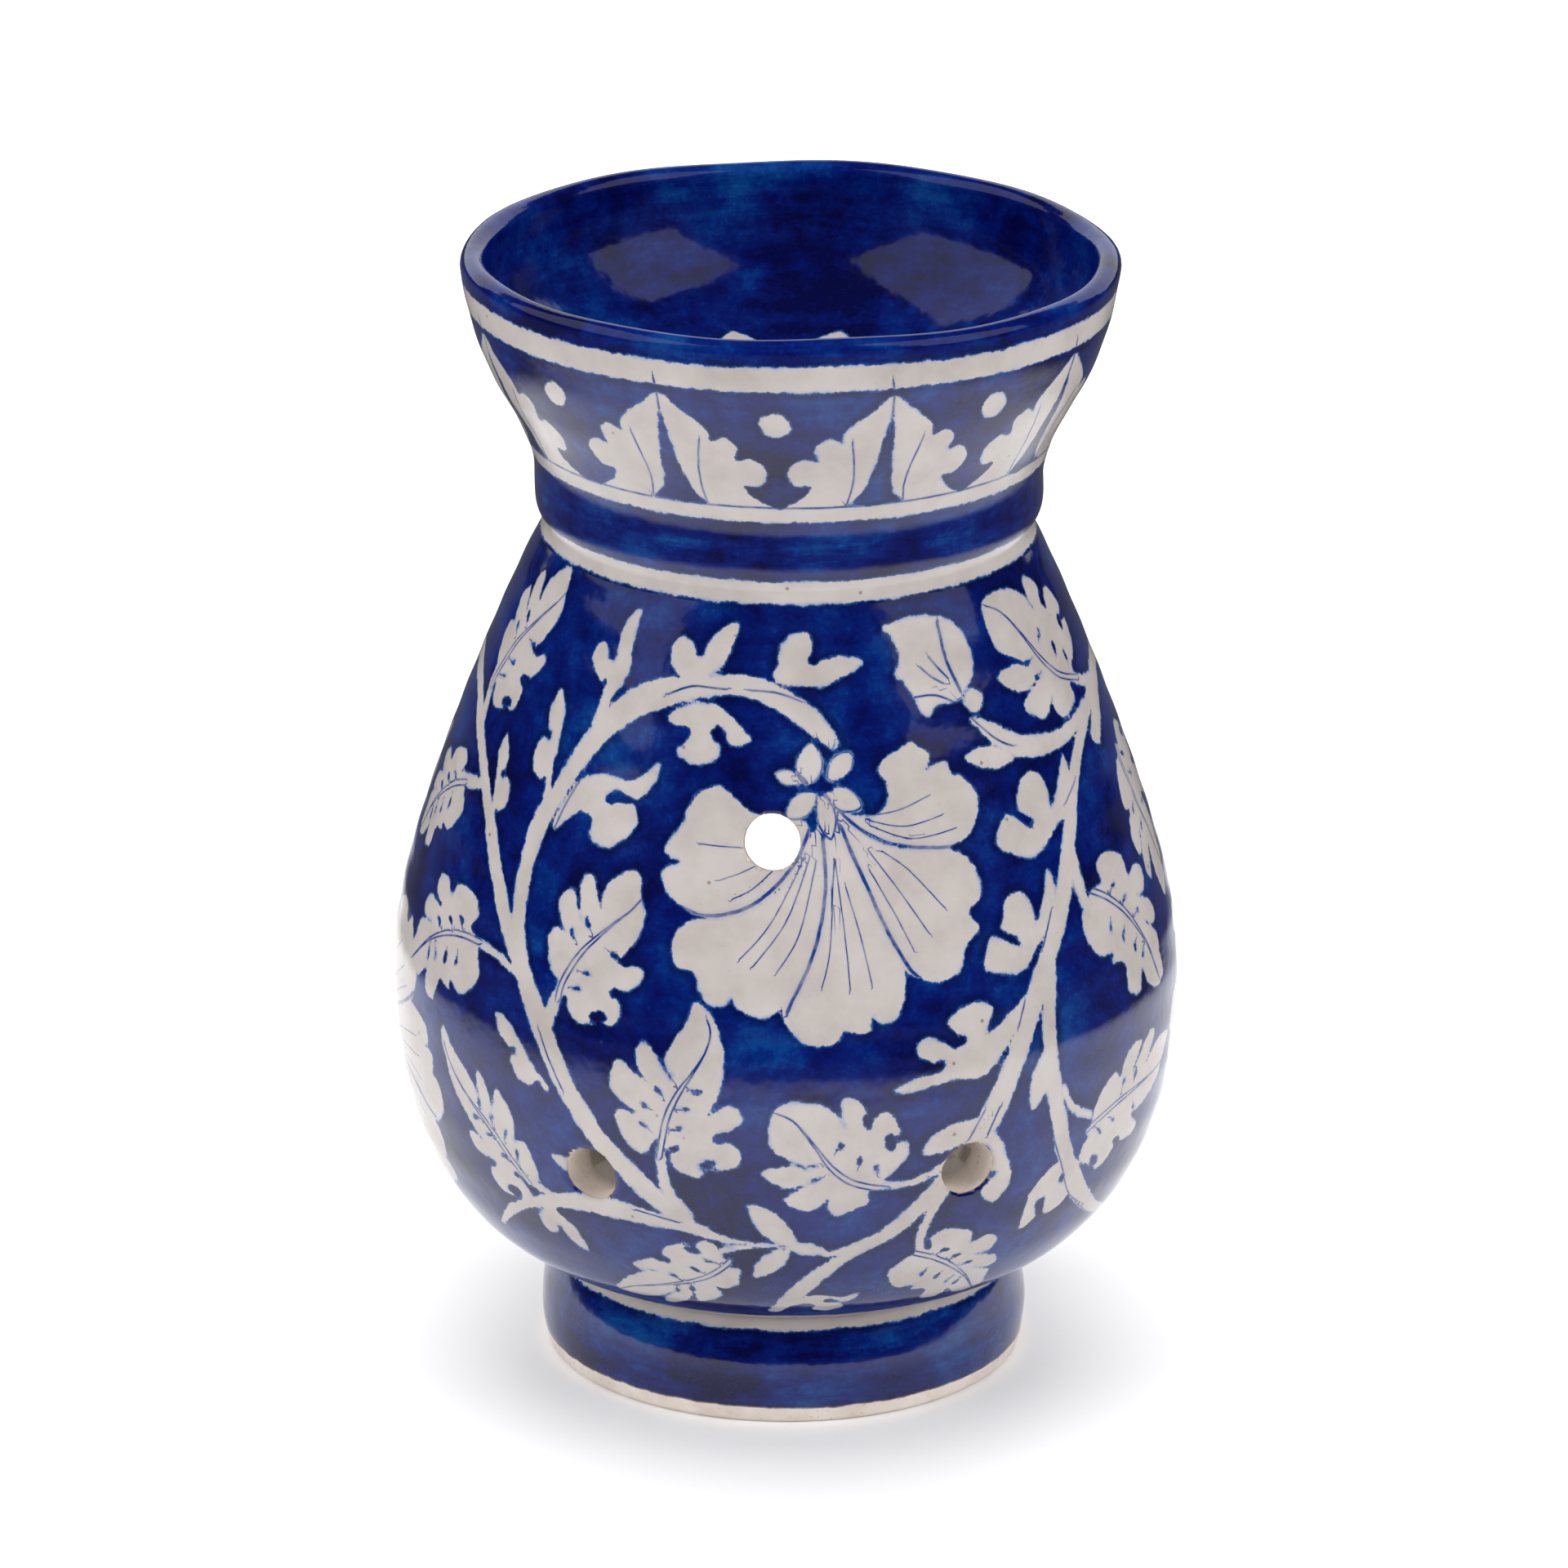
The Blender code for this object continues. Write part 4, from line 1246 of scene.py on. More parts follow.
ROSETTE_PETALS = 12
ROSETTE_TIP = 26.2
ROSETTE_ROOT = 5.5
ROSETTE_HALF = 4.5
ROSETTE_TURN = 0.02
EYE_RADIUS = 3.6
EYE_RING = 4.6
EYE_RING_HALF = 0.45
VEINS_FROM = 9
VEINS_TO = ROSETTE_TIP - 8


def paint_well(points):
    """White petals round the floor of the bowl, seen from above."""
    radius = np.hypot(points[:, 0], points[:, 1])
    turn = np.arctan2(points[:, 0], points[:, 1])
    sector = 2 * math.pi / ROSETTE_PETALS
    folded = (turn + ROSETTE_TURN) % sector - sector / 2
    x = radius * np.cos(folded)
    y = radius * np.sin(folded)
    drawn_petal = egg((ROSETTE_ROOT, 0), (ROSETTE_TIP, 0), ROSETTE_HALF, 1.6, 22)
    white = np.maximum(area_distance(x, y, drawn_petal), EYE_RADIUS - radius)
    ring = np.abs(radius - EYE_RING) - EYE_RING_HALF + np.where(radius < EYE_RING, 0.6, 0)
    white = np.minimum(white, ring)
    vein = np.where((radius > VEINS_FROM) & (x < VEINS_TO), y, FAR)
    return np.maximum(white, -FAR), vein


# Where the glaze thins out and over how much: below the outside, and down to the foot's edge.
GLAZE_EDGE = (0.18, 0.5)
FOOT_WIPED = (2.6, 0.8)
SILL_DEPTH = 0.25
SILL_INSET = 0.1
ON_WELL = 0.1
ROSETTE_ROOM = 33
THROWN_WAVES = (
    # size in mm, waves round the pot, shift, and lean in radians for each mm of height
    (0.10, 2, 0.6, 0.0),
    (0.05, 3, 0.0, 1 / 14),
    (0.035, 1, 0.0, 1.05),
)
# The lip's rise and fall: size in mm, waves round the rim, and shift.
LIP_WAVES = ((0.10, 2, 2.2), (0.13, 5, 0.5), (0.10, 9, 0.0))
LIP_SWAY_FROM = RIM_TOP - 9
LIP_SWAY_OVER = 7
STILL_FOOT = 4
STILL_MIDDLE = 12


def bare_clay(points, radius, depth):
    """Where the glaze stops: inside the wall, on the door's sill and round the foot's edge."""
    bare = np.clip((depth - GLAZE_EDGE[0]) / GLAZE_EDGE[1], 0, 1)
    bare = np.maximum(bare, np.clip((FOOT_WIPED[0] - points[:, 2]) / FOOT_WIPED[1], 0, 1))
    on_sill = ((np.abs(points[:, 2] - CHAMBER_FLOOR) < SILL_DEPTH) & (points[:, 1] > 0)
               & (radius < radius_at(CHAMBER_FLOOR) - SILL_INSET))
    return np.where(on_sill, 1, bare)


def hand_thrown(points, radius, turn, lip):
    """Moves the points by the slight swing of a hand-thrown wall, and of the lip."""
    height = points[:, 2].copy()
    swing = sum(size * np.sin(waves * turn + shift + height * lean)
                for size, waves, shift, lean in THROWN_WAVES)
    keep = np.clip(radius / STILL_MIDDLE, 0, 1) * np.clip(height / STILL_FOOT, 0, 1)
    grow = 1 + swing * keep / np.maximum(radius, 1)
    points[:, 0] *= grow
    points[:, 1] *= grow
    if lip:
        wave = sum(size * np.sin(waves * turn + shift) for size, waves, shift in LIP_WAVES)
        points[:, 2] += wave * np.clip((height - LIP_SWAY_FROM) / LIP_SWAY_OVER, 0, 1)


def finish_pot_piece(obj, glazed_well=False):
    """Paints a section of the pot, then gives it the swing of a hand-thrown wall."""
    mesh = obj.data
    points = corners(mesh)
    height = points[:, 2]
    radius = np.hypot(points[:, 0], points[:, 1])
    turn = np.arctan2(points[:, 0], -points[:, 1])
    low = max(height.min() - 6, OUTSIDE[0, 1])
    high = height.max() + 6
    part = np.nonzero((OUTSIDE[:, 1] >= low - 1) & (OUTSIDE[:, 1] <= high + 1))[0][::2]
    depth, run, _ = nearest_on(OUTSIDE[part], OUTSIDE_RUN[part], radius, height)
    canvas = Canvas(turn, run, np.maximum(radius, 1))
    canvas.paint()
    bare = bare_clay(points, radius, depth)
    if glazed_well:
        well_gap = nearest_on(WELL[::4], np.zeros(len(WELL[::4])), radius, height)[0]
        in_well = (well_gap < ON_WELL) | (height > RIM_TOP - LIP_ROUND)
        in_bowl = (well_gap < ON_WELL) & (radius < ROSETTE_ROOM)
        white, stroke = paint_well(points)
        canvas.white = np.where(in_bowl, white, np.where(in_well, -FAR, canvas.white))
        canvas.stroke = np.where(in_bowl, stroke, np.where(in_well, FAR, canvas.stroke))
        bare = np.where(in_well, 0, bare)
    store(mesh, "white", np.clip(canvas.white, -FAR, FAR))
    store(mesh, "stroke", np.clip(canvas.stroke, -FAR, FAR))
    store(mesh, "stroke_far", np.clip(np.abs(canvas.stroke), 0, FAR))
    store(mesh, "stroke_apart", np.clip(canvas.apart, 0, 2))
    store(mesh, "bare", bare)
    hand_thrown(points, radius, turn, glazed_well)
    set_corners(mesh, points)


# ============================================================ finishes
def cobalt_group():
    """Cobalt laid on with a loaded brush: deep pools, thin laps and a few light streaks."""
    tree, web, given, result = make_group(
        "ShaderNodeTree", "cobalt_brushwork",
        [("Place", "NodeSocketVector", None), ("Lightness", "NodeSocketFloat", 0.0),
         ("Wheel", "NodeSocketFloat", 0.0)],
        [("Colour", "NodeSocketColor")],
    )
    place = given["Place"]
    pools = web.noise(web.scale(place, (1.0, 1.0, 1.3)), 62, 3, 0.55)
    patches = web.noise(place, 210, 5, 0.72)
    sweeps = web.noise(web.scale(place, (1.0, 1.0, 6.0)), 95, 4, 0.65)
    strength = web.line(given["Wheel"], 0.34, 0.12)
    tone = web.line(pools, 0.56, web.times(patches, 0.40))
    tone = web.line(web.sum("SUBTRACT", sweeps, 0.5), strength, tone)
    tone = web.plus(tone, given["Lightness"])
    colour = web.ramp(tone, [
        (0.38, rgb(0.0008, 0.0016, 0.036)),
        (0.44, rgb(0.0008, 0.0040, 0.074)),
        (0.50, rgb(0.0008, 0.0085, 0.102)),
        (0.55, rgb(0.0010, 0.0180, 0.130)),
        (0.64, rgb(0.0026, 0.0400, 0.172)),
    ])
    grain = web.noise(place, 1500, 2, 0.6)
    lifted = web.blend(1.0, colour, rgb(1.5, 1.9, 1.6), "MULTIPLY")
    colour = web.blend(web.times(web.step(grain, 0.50, 0.72), 0.6), colour, lifted)
    web.put(result["Colour"], colour)
    return tree


def slip_group():
    """Warm white slip with iron specks and pinholes."""
    tree, web, given, result = make_group(
        "ShaderNodeTree", "white_slip",
        [("Place", "NodeSocketVector", None)],
        [("Colour", "NodeSocketColor")],
    )
    cloud = web.noise(given["Place"], 120, 4, 0.6)
    colour = web.ramp(cloud, [(0.30, rgb(0.360, 0.322, 0.300)), (0.52, rgb(0.415, 0.378, 0.358)),
                              (0.75, rgb(0.455, 0.422, 0.406))])
    coarse = web.cells(given["Place"], 330.0)
    chance = web.node("ShaderNodeSeparateColor", {"Color": coarse["Color"]}).outputs[0]
    speck = web.times(web.step(coarse["Distance"], 0.11, 0.05), web.step(chance, 0.78, 0.81))
    colour = web.blend(web.times(speck, 0.75), colour, rgb(0.16, 0.10, 0.07))
    fine = web.cells(given["Place"], 900.0)
    chance = web.node("ShaderNodeSeparateColor", {"Color": fine["Color"]}).outputs[1]
    pinhole = web.times(web.step(fine["Distance"], 0.16, 0.06), web.step(chance, 0.72, 0.76))
    colour = web.blend(web.times(pinhole, 0.35), colour, rgb(0.33, 0.27, 0.24))
    web.put(result["Colour"], colour)
    return tree


def clay_group():
    """Bare fired clay: tan, sandy, with darker grains."""
    tree, web, given, result = make_group(
        "ShaderNodeTree", "bare_clay",
        [("Place", "NodeSocketVector", None)],
        [("Colour", "NodeSocketColor"), ("Height", "NodeSocketFloat")],
    )
    body = web.noise(given["Place"], 150, 4, 0.6)
    sand = web.noise(given["Place"], 1700, 3, 0.7)
    colour = web.ramp(body, [(0.30, rgb(0.60, 0.520, 0.455)), (0.55, rgb(0.72, 0.645, 0.580)),
                             (0.75, rgb(0.80, 0.735, 0.670))])
    colour = web.blend(web.times(web.step(sand, 0.60, 0.72), 0.6), colour, rgb(0.25, 0.18, 0.13))
    web.put(result["Colour"], colour)
    web.put(result["Height"], web.line(sand, 0.5, web.times(body, 0.5)))
    return tree


def painted_group():
    """The painting under the glaze: white slip, cobalt, brushed edges and thin lines."""
    tree, web, given, result = make_group(
        "ShaderNodeTree", "underglaze_painting",
        [("Place", "NodeSocketVector", None), ("White", "NodeSocketFloat", 0.0),
         ("Stroke", "NodeSocketFloat", 9.0), ("Stroke far", "NodeSocketFloat", 9.0),
         ("Stroke apart", "NodeSocketFloat", 0.0), ("Bare", "NodeSocketFloat", 0.0),
         ("Lightness", "NodeSocketFloat", 0.0), ("Wheel", "NodeSocketFloat", 0.0)],
        [("Colour", "NodeSocketColor"), ("Bare", "NodeSocketFloat"), ("Height", "NodeSocketFloat")],
    )
    place = given["Place"]
    wander = web.waver(place, 260, 2, 0.5, 0.70)
    ragged = web.waver(place, 1000, 4, 0.65, 0.95)
    edge = web.plus(given["White"], web.plus(wander, ragged))
    inside = web.step(edge, -0.09, 0.09)
    cobalt = use_group(web, COBALT, {"Place": place, "Lightness": given["Lightness"],
                                     "Wheel": given["Wheel"]})["Colour"]
    patch = web.step(web.noise(place, 150, 2, 0.5), 0.36, 0.62)
    pooled = web.times(web.step(edge, -1.5, -0.25), web.times(patch, 0.72))
    cobalt = web.blend(pooled, cobalt, rgb(0.0012, 0.0024, 0.0260))
    thin = web.times(web.step(edge, -0.34, -0.04), 0.55)
    cobalt = web.blend(thin, cobalt, rgb(0.020, 0.095, 0.300))
    white = use_group(web, SLIP, {"Place": place})["Colour"]
    stained = web.step(web.noise(place, 260, 2, 0.5), 0.42, 0.62)
    stain = web.times(web.step(edge, 0.42, 0.05), stained)
    white = web.blend(web.times(stain, 0.45), white, rgb(0.110, 0.210, 0.420))
    colour = web.blend(inside, cobalt, white)
    sway = web.waver(place, 700, 2, 0.5, 0.16)
    side = web.sum("ABSOLUTE", web.plus(given["Stroke"], sway))
    gap = web.sum("ABSOLUTE", web.sum("SUBTRACT", side, given["Stroke apart"]))
    near = web.step(given["Stroke far"], 1.05, 0.75)
    line = web.times(web.step(gap, 0.21, 0.10), web.times(near, web.step(edge, -0.05, 0.1)))
    load = web.line(web.step(web.noise(place, 330, 3, 0.6), 0.34, 0.62), 0.42, 0.58)
    halo = web.times(web.step(gap, 0.55, 0.15), web.times(near, 0.16))
    colour = web.blend(web.times(halo, inside), colour, rgb(0.080, 0.170, 0.380))
    colour = web.blend(web.times(line, load), colour, rgb(0.0060, 0.032, 0.165))
    ragged_bare = web.plus(given["Bare"], web.waver(place, 420, 3, 0.6, 0.7))
    bare = web.step(ragged_bare, 0.42, 0.58)
    clay = use_group(web, CLAY, {"Place": place})
    rim = web.times(web.step(ragged_bare, 0.18, 0.42), 0.6)
    colour = web.blend(rim, colour, rgb(0.36, 0.25, 0.17))
    colour = web.blend(bare, colour, clay["Colour"])
    web.put(result["Colour"], colour)
    web.put(result["Bare"], bare)
    skin = web.times(web.noise(place, 260, 2, 0.5), 0.55)
    relief = web.line(inside, 0.06, skin)
    grit = web.times(clay["Height"], 0.9)
    web.put(result["Height"], web.between(bare, relief, grit))
    return tree


COBALT = cobalt_group()
SLIP = slip_group()
CLAY = clay_group()
PAINTED = painted_group()


def new_material(name):
    made = bpy.data.materials.new(name)
    made.use_nodes = True
    web = Web(made.node_tree)
    shader = made.node_tree.nodes["Principled BSDF"]
    place = web.node("ShaderNodeTexCoord").outputs["Object"]
    return made, web, shader, place


def bump(web, shader, height, strength, distance):
    made = web.node("ShaderNodeBump", {
        "Strength": strength, "Distance": distance, "Height": height})
    web.put(shader.inputs["Normal"], made.outputs["Normal"])


def attribute(web, name):
    return web.node("ShaderNodeAttribute", attribute_name=name).outputs["Fac"]


def glazed_pottery(name, lightness=0.0, wheel=0.0):
    """Underglaze painting beneath a clear gloss glaze, bare where the glaze stops.
    The wheel value is how far the brush was held still while the pot turned."""
    made, web, shader, place = new_material(name)
    painted = use_group(web, PAINTED, {
        "Place": place, "White": attribute(web, "white"), "Stroke": attribute(web, "stroke"),
        "Stroke far": attribute(web, "stroke_far"), "Stroke apart": attribute(web, "stroke_apart"),
        "Bare": attribute(web, "bare"), "Lightness": lightness, "Wheel": wheel,
    })
    web.put(shader.inputs["Base Color"], painted["Colour"])
    wet = web.line(web.noise(place, 380, 3, 0.6), 0.10, 0.05)
    web.put(shader.inputs["Roughness"], web.between(painted["Bare"], wet, 0.88))
    shader.inputs["IOR"].default_value = 1.52
    bump(web, shader, painted["Height"], 0.22, 0.0006)
    return made


def fired_slip():
    made, web, shader, place = new_material("fired_slip")
    clay = use_group(web, CLAY, {"Place": place})
    web.put(shader.inputs["Base Color"], web.blend(0.5, clay["Colour"], rgb(0.62, 0.52, 0.42)))
    shader.inputs["Roughness"].default_value = 0.9
    bump(web, shader, clay["Height"], 0.4, 0.0003)
    return made


def drawn_aluminium():
    made, web, shader, place = new_material("drawn_aluminium")
    drawn = web.noise(web.scale(place, (1, 1, 0.12)), 2600, 3, 0.6)
    dull = web.noise(place, 300, 3, 0.6)
    web.put(shader.inputs["Base Color"], web.ramp(dull, [
        (0.3, rgb(0.52, 0.53, 0.54)), (0.7, rgb(0.64, 0.65, 0.66))]))
    web.put(shader.inputs["Roughness"], web.line(drawn, 0.22, 0.16))
    shader.inputs["Metallic"].default_value = 1.0
    bump(web, shader, drawn, 0.12, 0.0001)
    return made


def candle_wax():
    made, web, shader, place = new_material("candle_wax")
    cloud = web.noise(place, 160, 4, 0.6)
    web.put(shader.inputs["Base Color"], web.ramp(cloud, [
        (0.3, rgb(0.80, 0.77, 0.70)), (0.7, rgb(0.91, 0.89, 0.84))]))
    web.put(shader.inputs["Roughness"], web.line(cloud, 0.2, 0.28))
    shader.inputs["Subsurface Weight"].default_value = 0.25
    shader.inputs["Subsurface Radius"].default_value = (0.004, 0.003, 0.002)
    shader.inputs["Subsurface Scale"].default_value = 1.0
    bump(web, shader, web.noise(place, 700, 3, 0.6), 0.2, 0.0002)
    return made


def waxed_cotton():
    made, web, shader, place = new_material("waxed_cotton")
    fibre = web.noise(web.scale(place, (1, 1, 0.25)), 5000, 3, 0.6)
    web.put(shader.inputs["Base Color"], web.ramp(fibre, [
        (0.3, rgb(0.58, 0.54, 0.46)), (0.7, rgb(0.82, 0.79, 0.72))]))
    shader.inputs["Roughness"].default_value = 0.8
    bump(web, shader, fibre, 0.5, 0.0002)
    return made


def tinned_sheet():
    made, web, shader, place = new_material("tinned_sheet")
    crystal = web.cells(place, 900.0)["Color"]
    tone = web.noise(place, 1800, 3, 0.6)
    base = web.ramp(tone, [(0.3, rgb(0.50, 0.50, 0.49)), (0.7, rgb(0.68, 0.68, 0.66))])
    web.put(shader.inputs["Base Color"], web.blend(0.10, base, crystal, "OVERLAY"))
    web.put(shader.inputs["Roughness"], web.line(tone, 0.25, 0.25))
    shader.inputs["Metallic"].default_value = 1.0
    return made


# ============================================================ the pot's sections
def make_foot():
    outline = joined(
        evenly([(FOOT_BORE + FOOT_EDGE, 0), (FOOT_BORE, FOOT_EDGE)], 0.4),
        evenly([(FOOT_BORE, FOOT_EDGE), (FOOT_BORE, FOOT_SEAM)], INSIDE_ROW),
        groove(FOOT_BORE, FOOT_SEAM_RADIUS, FOOT_SEAM, -1),
        evenly(FOOT_OUTSIDE[::-1], BOWL_ROW),
        evenly([(FOOT_RADIUS - FOOT_EDGE, 0), (FOOT_BORE + FOOT_EDGE, 0)], INSIDE_ROW)[:-1],
    )
    glaze = glazed_pottery("foot_glaze", -0.005, 1.0)
    return turned("foot_ring_glazed", outline, BOWL_COLUMNS, glaze)


def make_belly_lower():
    inside = wall_inside(LOWER_OUTSIDE, CHAMBER_FLOOR, WAIST)
    outline = joined(
        evenly([(0, CHAMBER_FLOOR), inside[0]], FLAT_ROW),
        evenly(inside, INSIDE_ROW),
        groove(inside[-1][0], BELLY_RADIUS, WAIST, -1),
        evenly(LOWER_OUTSIDE[::-1], BELLY_ROW),
        groove(FOOT_BORE, FOOT_SEAM_RADIUS, FOOT_SEAM, 1)[::-1],
        np.array([(0, FOOT_SEAM)]),
    )
    glaze = glazed_pottery("belly_lower_glaze")
    piece = turned("belly_lower_glazed", outline, BELLY_COLUMNS, glaze)
    soften_cuts(piece.data, inside)
    return punched(piece, [door_punch(), vent_punch(VENTS[1]), vent_punch(VENTS[2])])


def make_belly_upper():
    inside = wall_inside(UPPER_OUTSIDE, WAIST, SHOULDER)
    inside[-1][0] = NECK_BORE
    outline = joined(
        evenly(inside, INSIDE_ROW),
        groove(NECK_BORE, NECK_RADIUS, SHOULDER, -1),
        evenly(UPPER_OUTSIDE[::-1], BELLY_ROW),
        groove(inside[0][0], BELLY_RADIUS, WAIST, 1)[::-1],
    )
    glaze = glazed_pottery("belly_upper_glaze")
    piece = turned("belly_upper_glazed", outline, BELLY_COLUMNS, glaze)
    soften_cuts(piece.data, inside)
    return punched(piece, [door_punch(), vent_punch(VENTS[0])])


def make_collar():
    outline = joined(
        evenly([(NECK_BORE, SHOULDER), (NECK_BORE, BOWL_SEAM)], INSIDE_ROW),
        groove(NECK_BORE, COLLAR_RADIUS, BOWL_SEAM, -1),
        evenly(COLLAR_OUTSIDE[::-1], BOWL_ROW),
        groove(NECK_BORE, NECK_RADIUS, SHOULDER, 1)[::-1],
    )
    glaze = glazed_pottery("collar_glaze", -0.015, 1.0)
    return turned("neck_collar_glazed", outline, BOWL_COLUMNS, glaze)


def make_bowl():
    outline = joined(
        evenly(WELL[::-1], WELL_ROW),
        evenly(LIP[::-1], LIP_ROW),
        evenly(BOWL_OUTSIDE[::-1], BOWL_ROW),
        groove(NECK_BORE, COLLAR_RADIUS, BOWL_SEAM, 1)[::-1],
        np.array([(0, BOWL_SEAM)]),
    )
    # Lightness -0.02 darkens the cobalt over the whole bowl piece: painted shade for the deep well
    # inside the bowl.
    glaze = glazed_pottery("bowl_glaze", -0.02, 0.5)
    return turned("oil_bowl_glazed", outline, BOWL_COLUMNS, glaze)


def make_slip_ring(name, inner, outer, face, finish):
    """Luting slip that fills the grooves of the two faces it joins."""
    middle = (inner + outer) / 2
    half = SLIP_HALF - SLIP_GAP
    depth = SLIP_DEPTH - SLIP_GAP
    outline = [(middle - half, face - depth), (middle - half, face + depth),
               (middle + half, face + depth), (middle + half, face - depth)]
    return turned(name, outline, 192, finish)


def show(piece, node, body, slot):
    """Rides a finished piece on its body in place of its CAD node."""
    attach(piece, body)
    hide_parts(node)


def build_pot():
    sections = (
        (make_foot(), "foot_ring", "foot_glaze"),
        (make_belly_lower(), "belly_lower", "belly_glaze"),
        (make_belly_upper(), "belly_upper", "belly_glaze"),
        (make_collar(), "neck_collar", "collar_glaze"),
        (make_bowl(), "oil_bowl", "bowl_glaze"),
    )
    for piece, node, slot in sections:
        finish_pot_piece(piece, node == "oil_bowl")
        show(piece, node, "pot", slot)
    slip = fired_slip()
    waist_bore = wall_inside(UPPER_OUTSIDE, WAIST, SHOULDER)[0][0]
    rings = (
        ("slip_seam_foot", FOOT_BORE, FOOT_SEAM_RADIUS, FOOT_SEAM),
        ("slip_seam_waist", waist_bore, BELLY_RADIUS, WAIST),
        ("slip_seam_shoulder", NECK_BORE, NECK_RADIUS, SHOULDER),
        ("slip_seam_bowl", NECK_BORE, COLLAR_RADIUS, BOWL_SEAM),
    )
    for node, inner, outer, face in rings:
        ring = make_slip_ring(node + "_fired", inner, outer, face, slip)
        if node == "slip_seam_waist":
            ring = punched(ring, [door_punch()])
        show(ring, node, "pot", "luting_slip")


# ============================================================ the tealight
CUP_SHEET = 0.25
CUP_BASE_IN = 0.65
CUP_TOP_IN = 0.55
CUP_BEAD = 0.30
CUP_CORNER = 0.8
CUP_ROW = 0.6
CUP_FLUTES = 44
FLUTE_DEPTH = 0.09
FLUTES_LOW = CUP_BASE + 2.4
FLUTES_HIGH = CUP_TOP - 2.2


def make_cup():
    """A drawn foil cup with a fluted side, a bead round its foot and a rolled rim."""
    base = CUP_RADIUS - CUP_BASE_IN
    top = CUP_RADIUS - CUP_TOP_IN
    outside = joined(
        round_corner((CUP_RADIUS - CUP_BEAD, CUP_TOP - CUP_BEAD), CUP_BEAD, 90, -60, 8),
        np.array([(top + 0.02, CUP_TOP - 0.9), (top, FLUTES_HIGH)]),
        evenly([(top, FLUTES_HIGH), (base, FLUTES_LOW)], CUP_ROW),
        np.array([(base - 0.25, CUP_BASE + 1.7), (base, CUP_BASE + 1.0)]),
        round_corner((base - CUP_CORNER, CUP_BASE + CUP_CORNER), CUP_CORNER, 0, -90, 6),
    )
    inside = [
        (0, CUP_BASE + CUP_SHEET),
        (base - CUP_CORNER, CUP_BASE + CUP_SHEET),
        (base - CUP_SHEET - 0.1, CUP_BASE + 0.9),
        *evenly([(base - CUP_SHEET, FLUTES_LOW), (top - CUP_SHEET, FLUTES_HIGH)], CUP_ROW),
        (top - CUP_SHEET, CUP_TOP - 0.5),
    ]
    outline = joined(np.array(inside), outside, np.array([(0, CUP_BASE)]))
    return turned("tealight_cup_drawn", outline, 8 * CUP_FLUTES, drawn_aluminium(), **{
        "Flutes": float(CUP_FLUTES), "Flute depth": FLUTE_DEPTH * MM,
        "Flutes from": (FLUTES_LOW + 0.1) * MM, "Flutes to": (FLUTES_HIGH - 0.1) * MM,
    })


def make_wax():
    """Poured wax, climbing a little at the cup and the wick, with room for the sustainer."""
    side_low = highest("tealight_wax").x - 0.45
    side_high = highest("tealight_wax").x - 0.05
    disc_room = highest("wick_sustainer").x + 0.3
    disc_top = WAX_BASE + 0.8
    neck_room = 1.85
    neck_top = highest("wick_sustainer").z + 0.3
    wick_room = 1.05
    shoulder = (13.0, WAX_TOP - 0.6)
    sink = curve_between((wick_room, WAX_TOP), (3.0, WAX_TOP - 1.0), (8.0, WAX_TOP - 0.9),
                         shoulder, 20)
    rise = curve_between(shoulder, (16.5, WAX_TOP - 0.45), (side_high - 0.4, WAX_TOP - 0.3),
                         (side_high, WAX_TOP), 12)
    outline = joined(
        np.array([(disc_room, WAX_BASE), (disc_room, disc_top), (neck_room, disc_top),
                  (neck_room, neck_top), (wick_room, neck_top)]),
        sink, rise,
        evenly([(side_high, WAX_TOP), (side_low, WAX_BASE)], 2.0),
    )
    return turned("tealight_wax_poured", outline, 128, candle_wax())


def braid_tree():
    """Three strands of a wick twisted round each other."""
    tree, web, given, result = make_group(
        "GeometryNodeTree", "twist_strands",
        [("Start", "NodeSocketGeometry", None), ("Height", "NodeSocketFloat", 0.02),
         ("Strand", "NodeSocketFloat", 0.0004), ("Swing", "NodeSocketFloat", 0.0004),
         ("Twists", "NodeSocketFloat", 6.0), ("Strands", "NodeSocketInt", 3),
         ("Finish", "NodeSocketMaterial", None)],
        [("Wick", "NodeSocketGeometry")],
    )
    tree.is_modifier = True
    spiral = web.node("GeometryNodeCurveSpiral", {
        "Resolution": 14, "Rotations": given["Twists"], "Start Radius": given["Swing"],
        "End Radius": given["Swing"], "Height": given["Height"]})
    section = web.node("GeometryNodeCurvePrimitiveCircle", {
        "Resolution": 8, "Radius": given["Strand"]})
    strand = web.node("GeometryNodeCurveToMesh", {
        "Curve": spiral.outputs[0], "Profile Curve": section.outputs[0], "Fill Caps": True})
    spots = web.node("GeometryNodeMeshLine", {"Count": given["Strands"], "Offset": (0.0, 0.0, 0.0)})
    index = web.node("GeometryNodeInputIndex").outputs[0]
    turn = web.sum("DIVIDE", web.times(index, 2 * math.pi), given["Strands"])
    facing = web.node("ShaderNodeCombineXYZ", {"Z": turn}).outputs[0]
    placed = web.node("GeometryNodeInstanceOnPoints", {
        "Points": spots.outputs[0], "Instance": strand.outputs[0], "Rotation": facing})
    web.put(result["Wick"], finished(web, placed.outputs[0], given["Finish"]))
    return tree


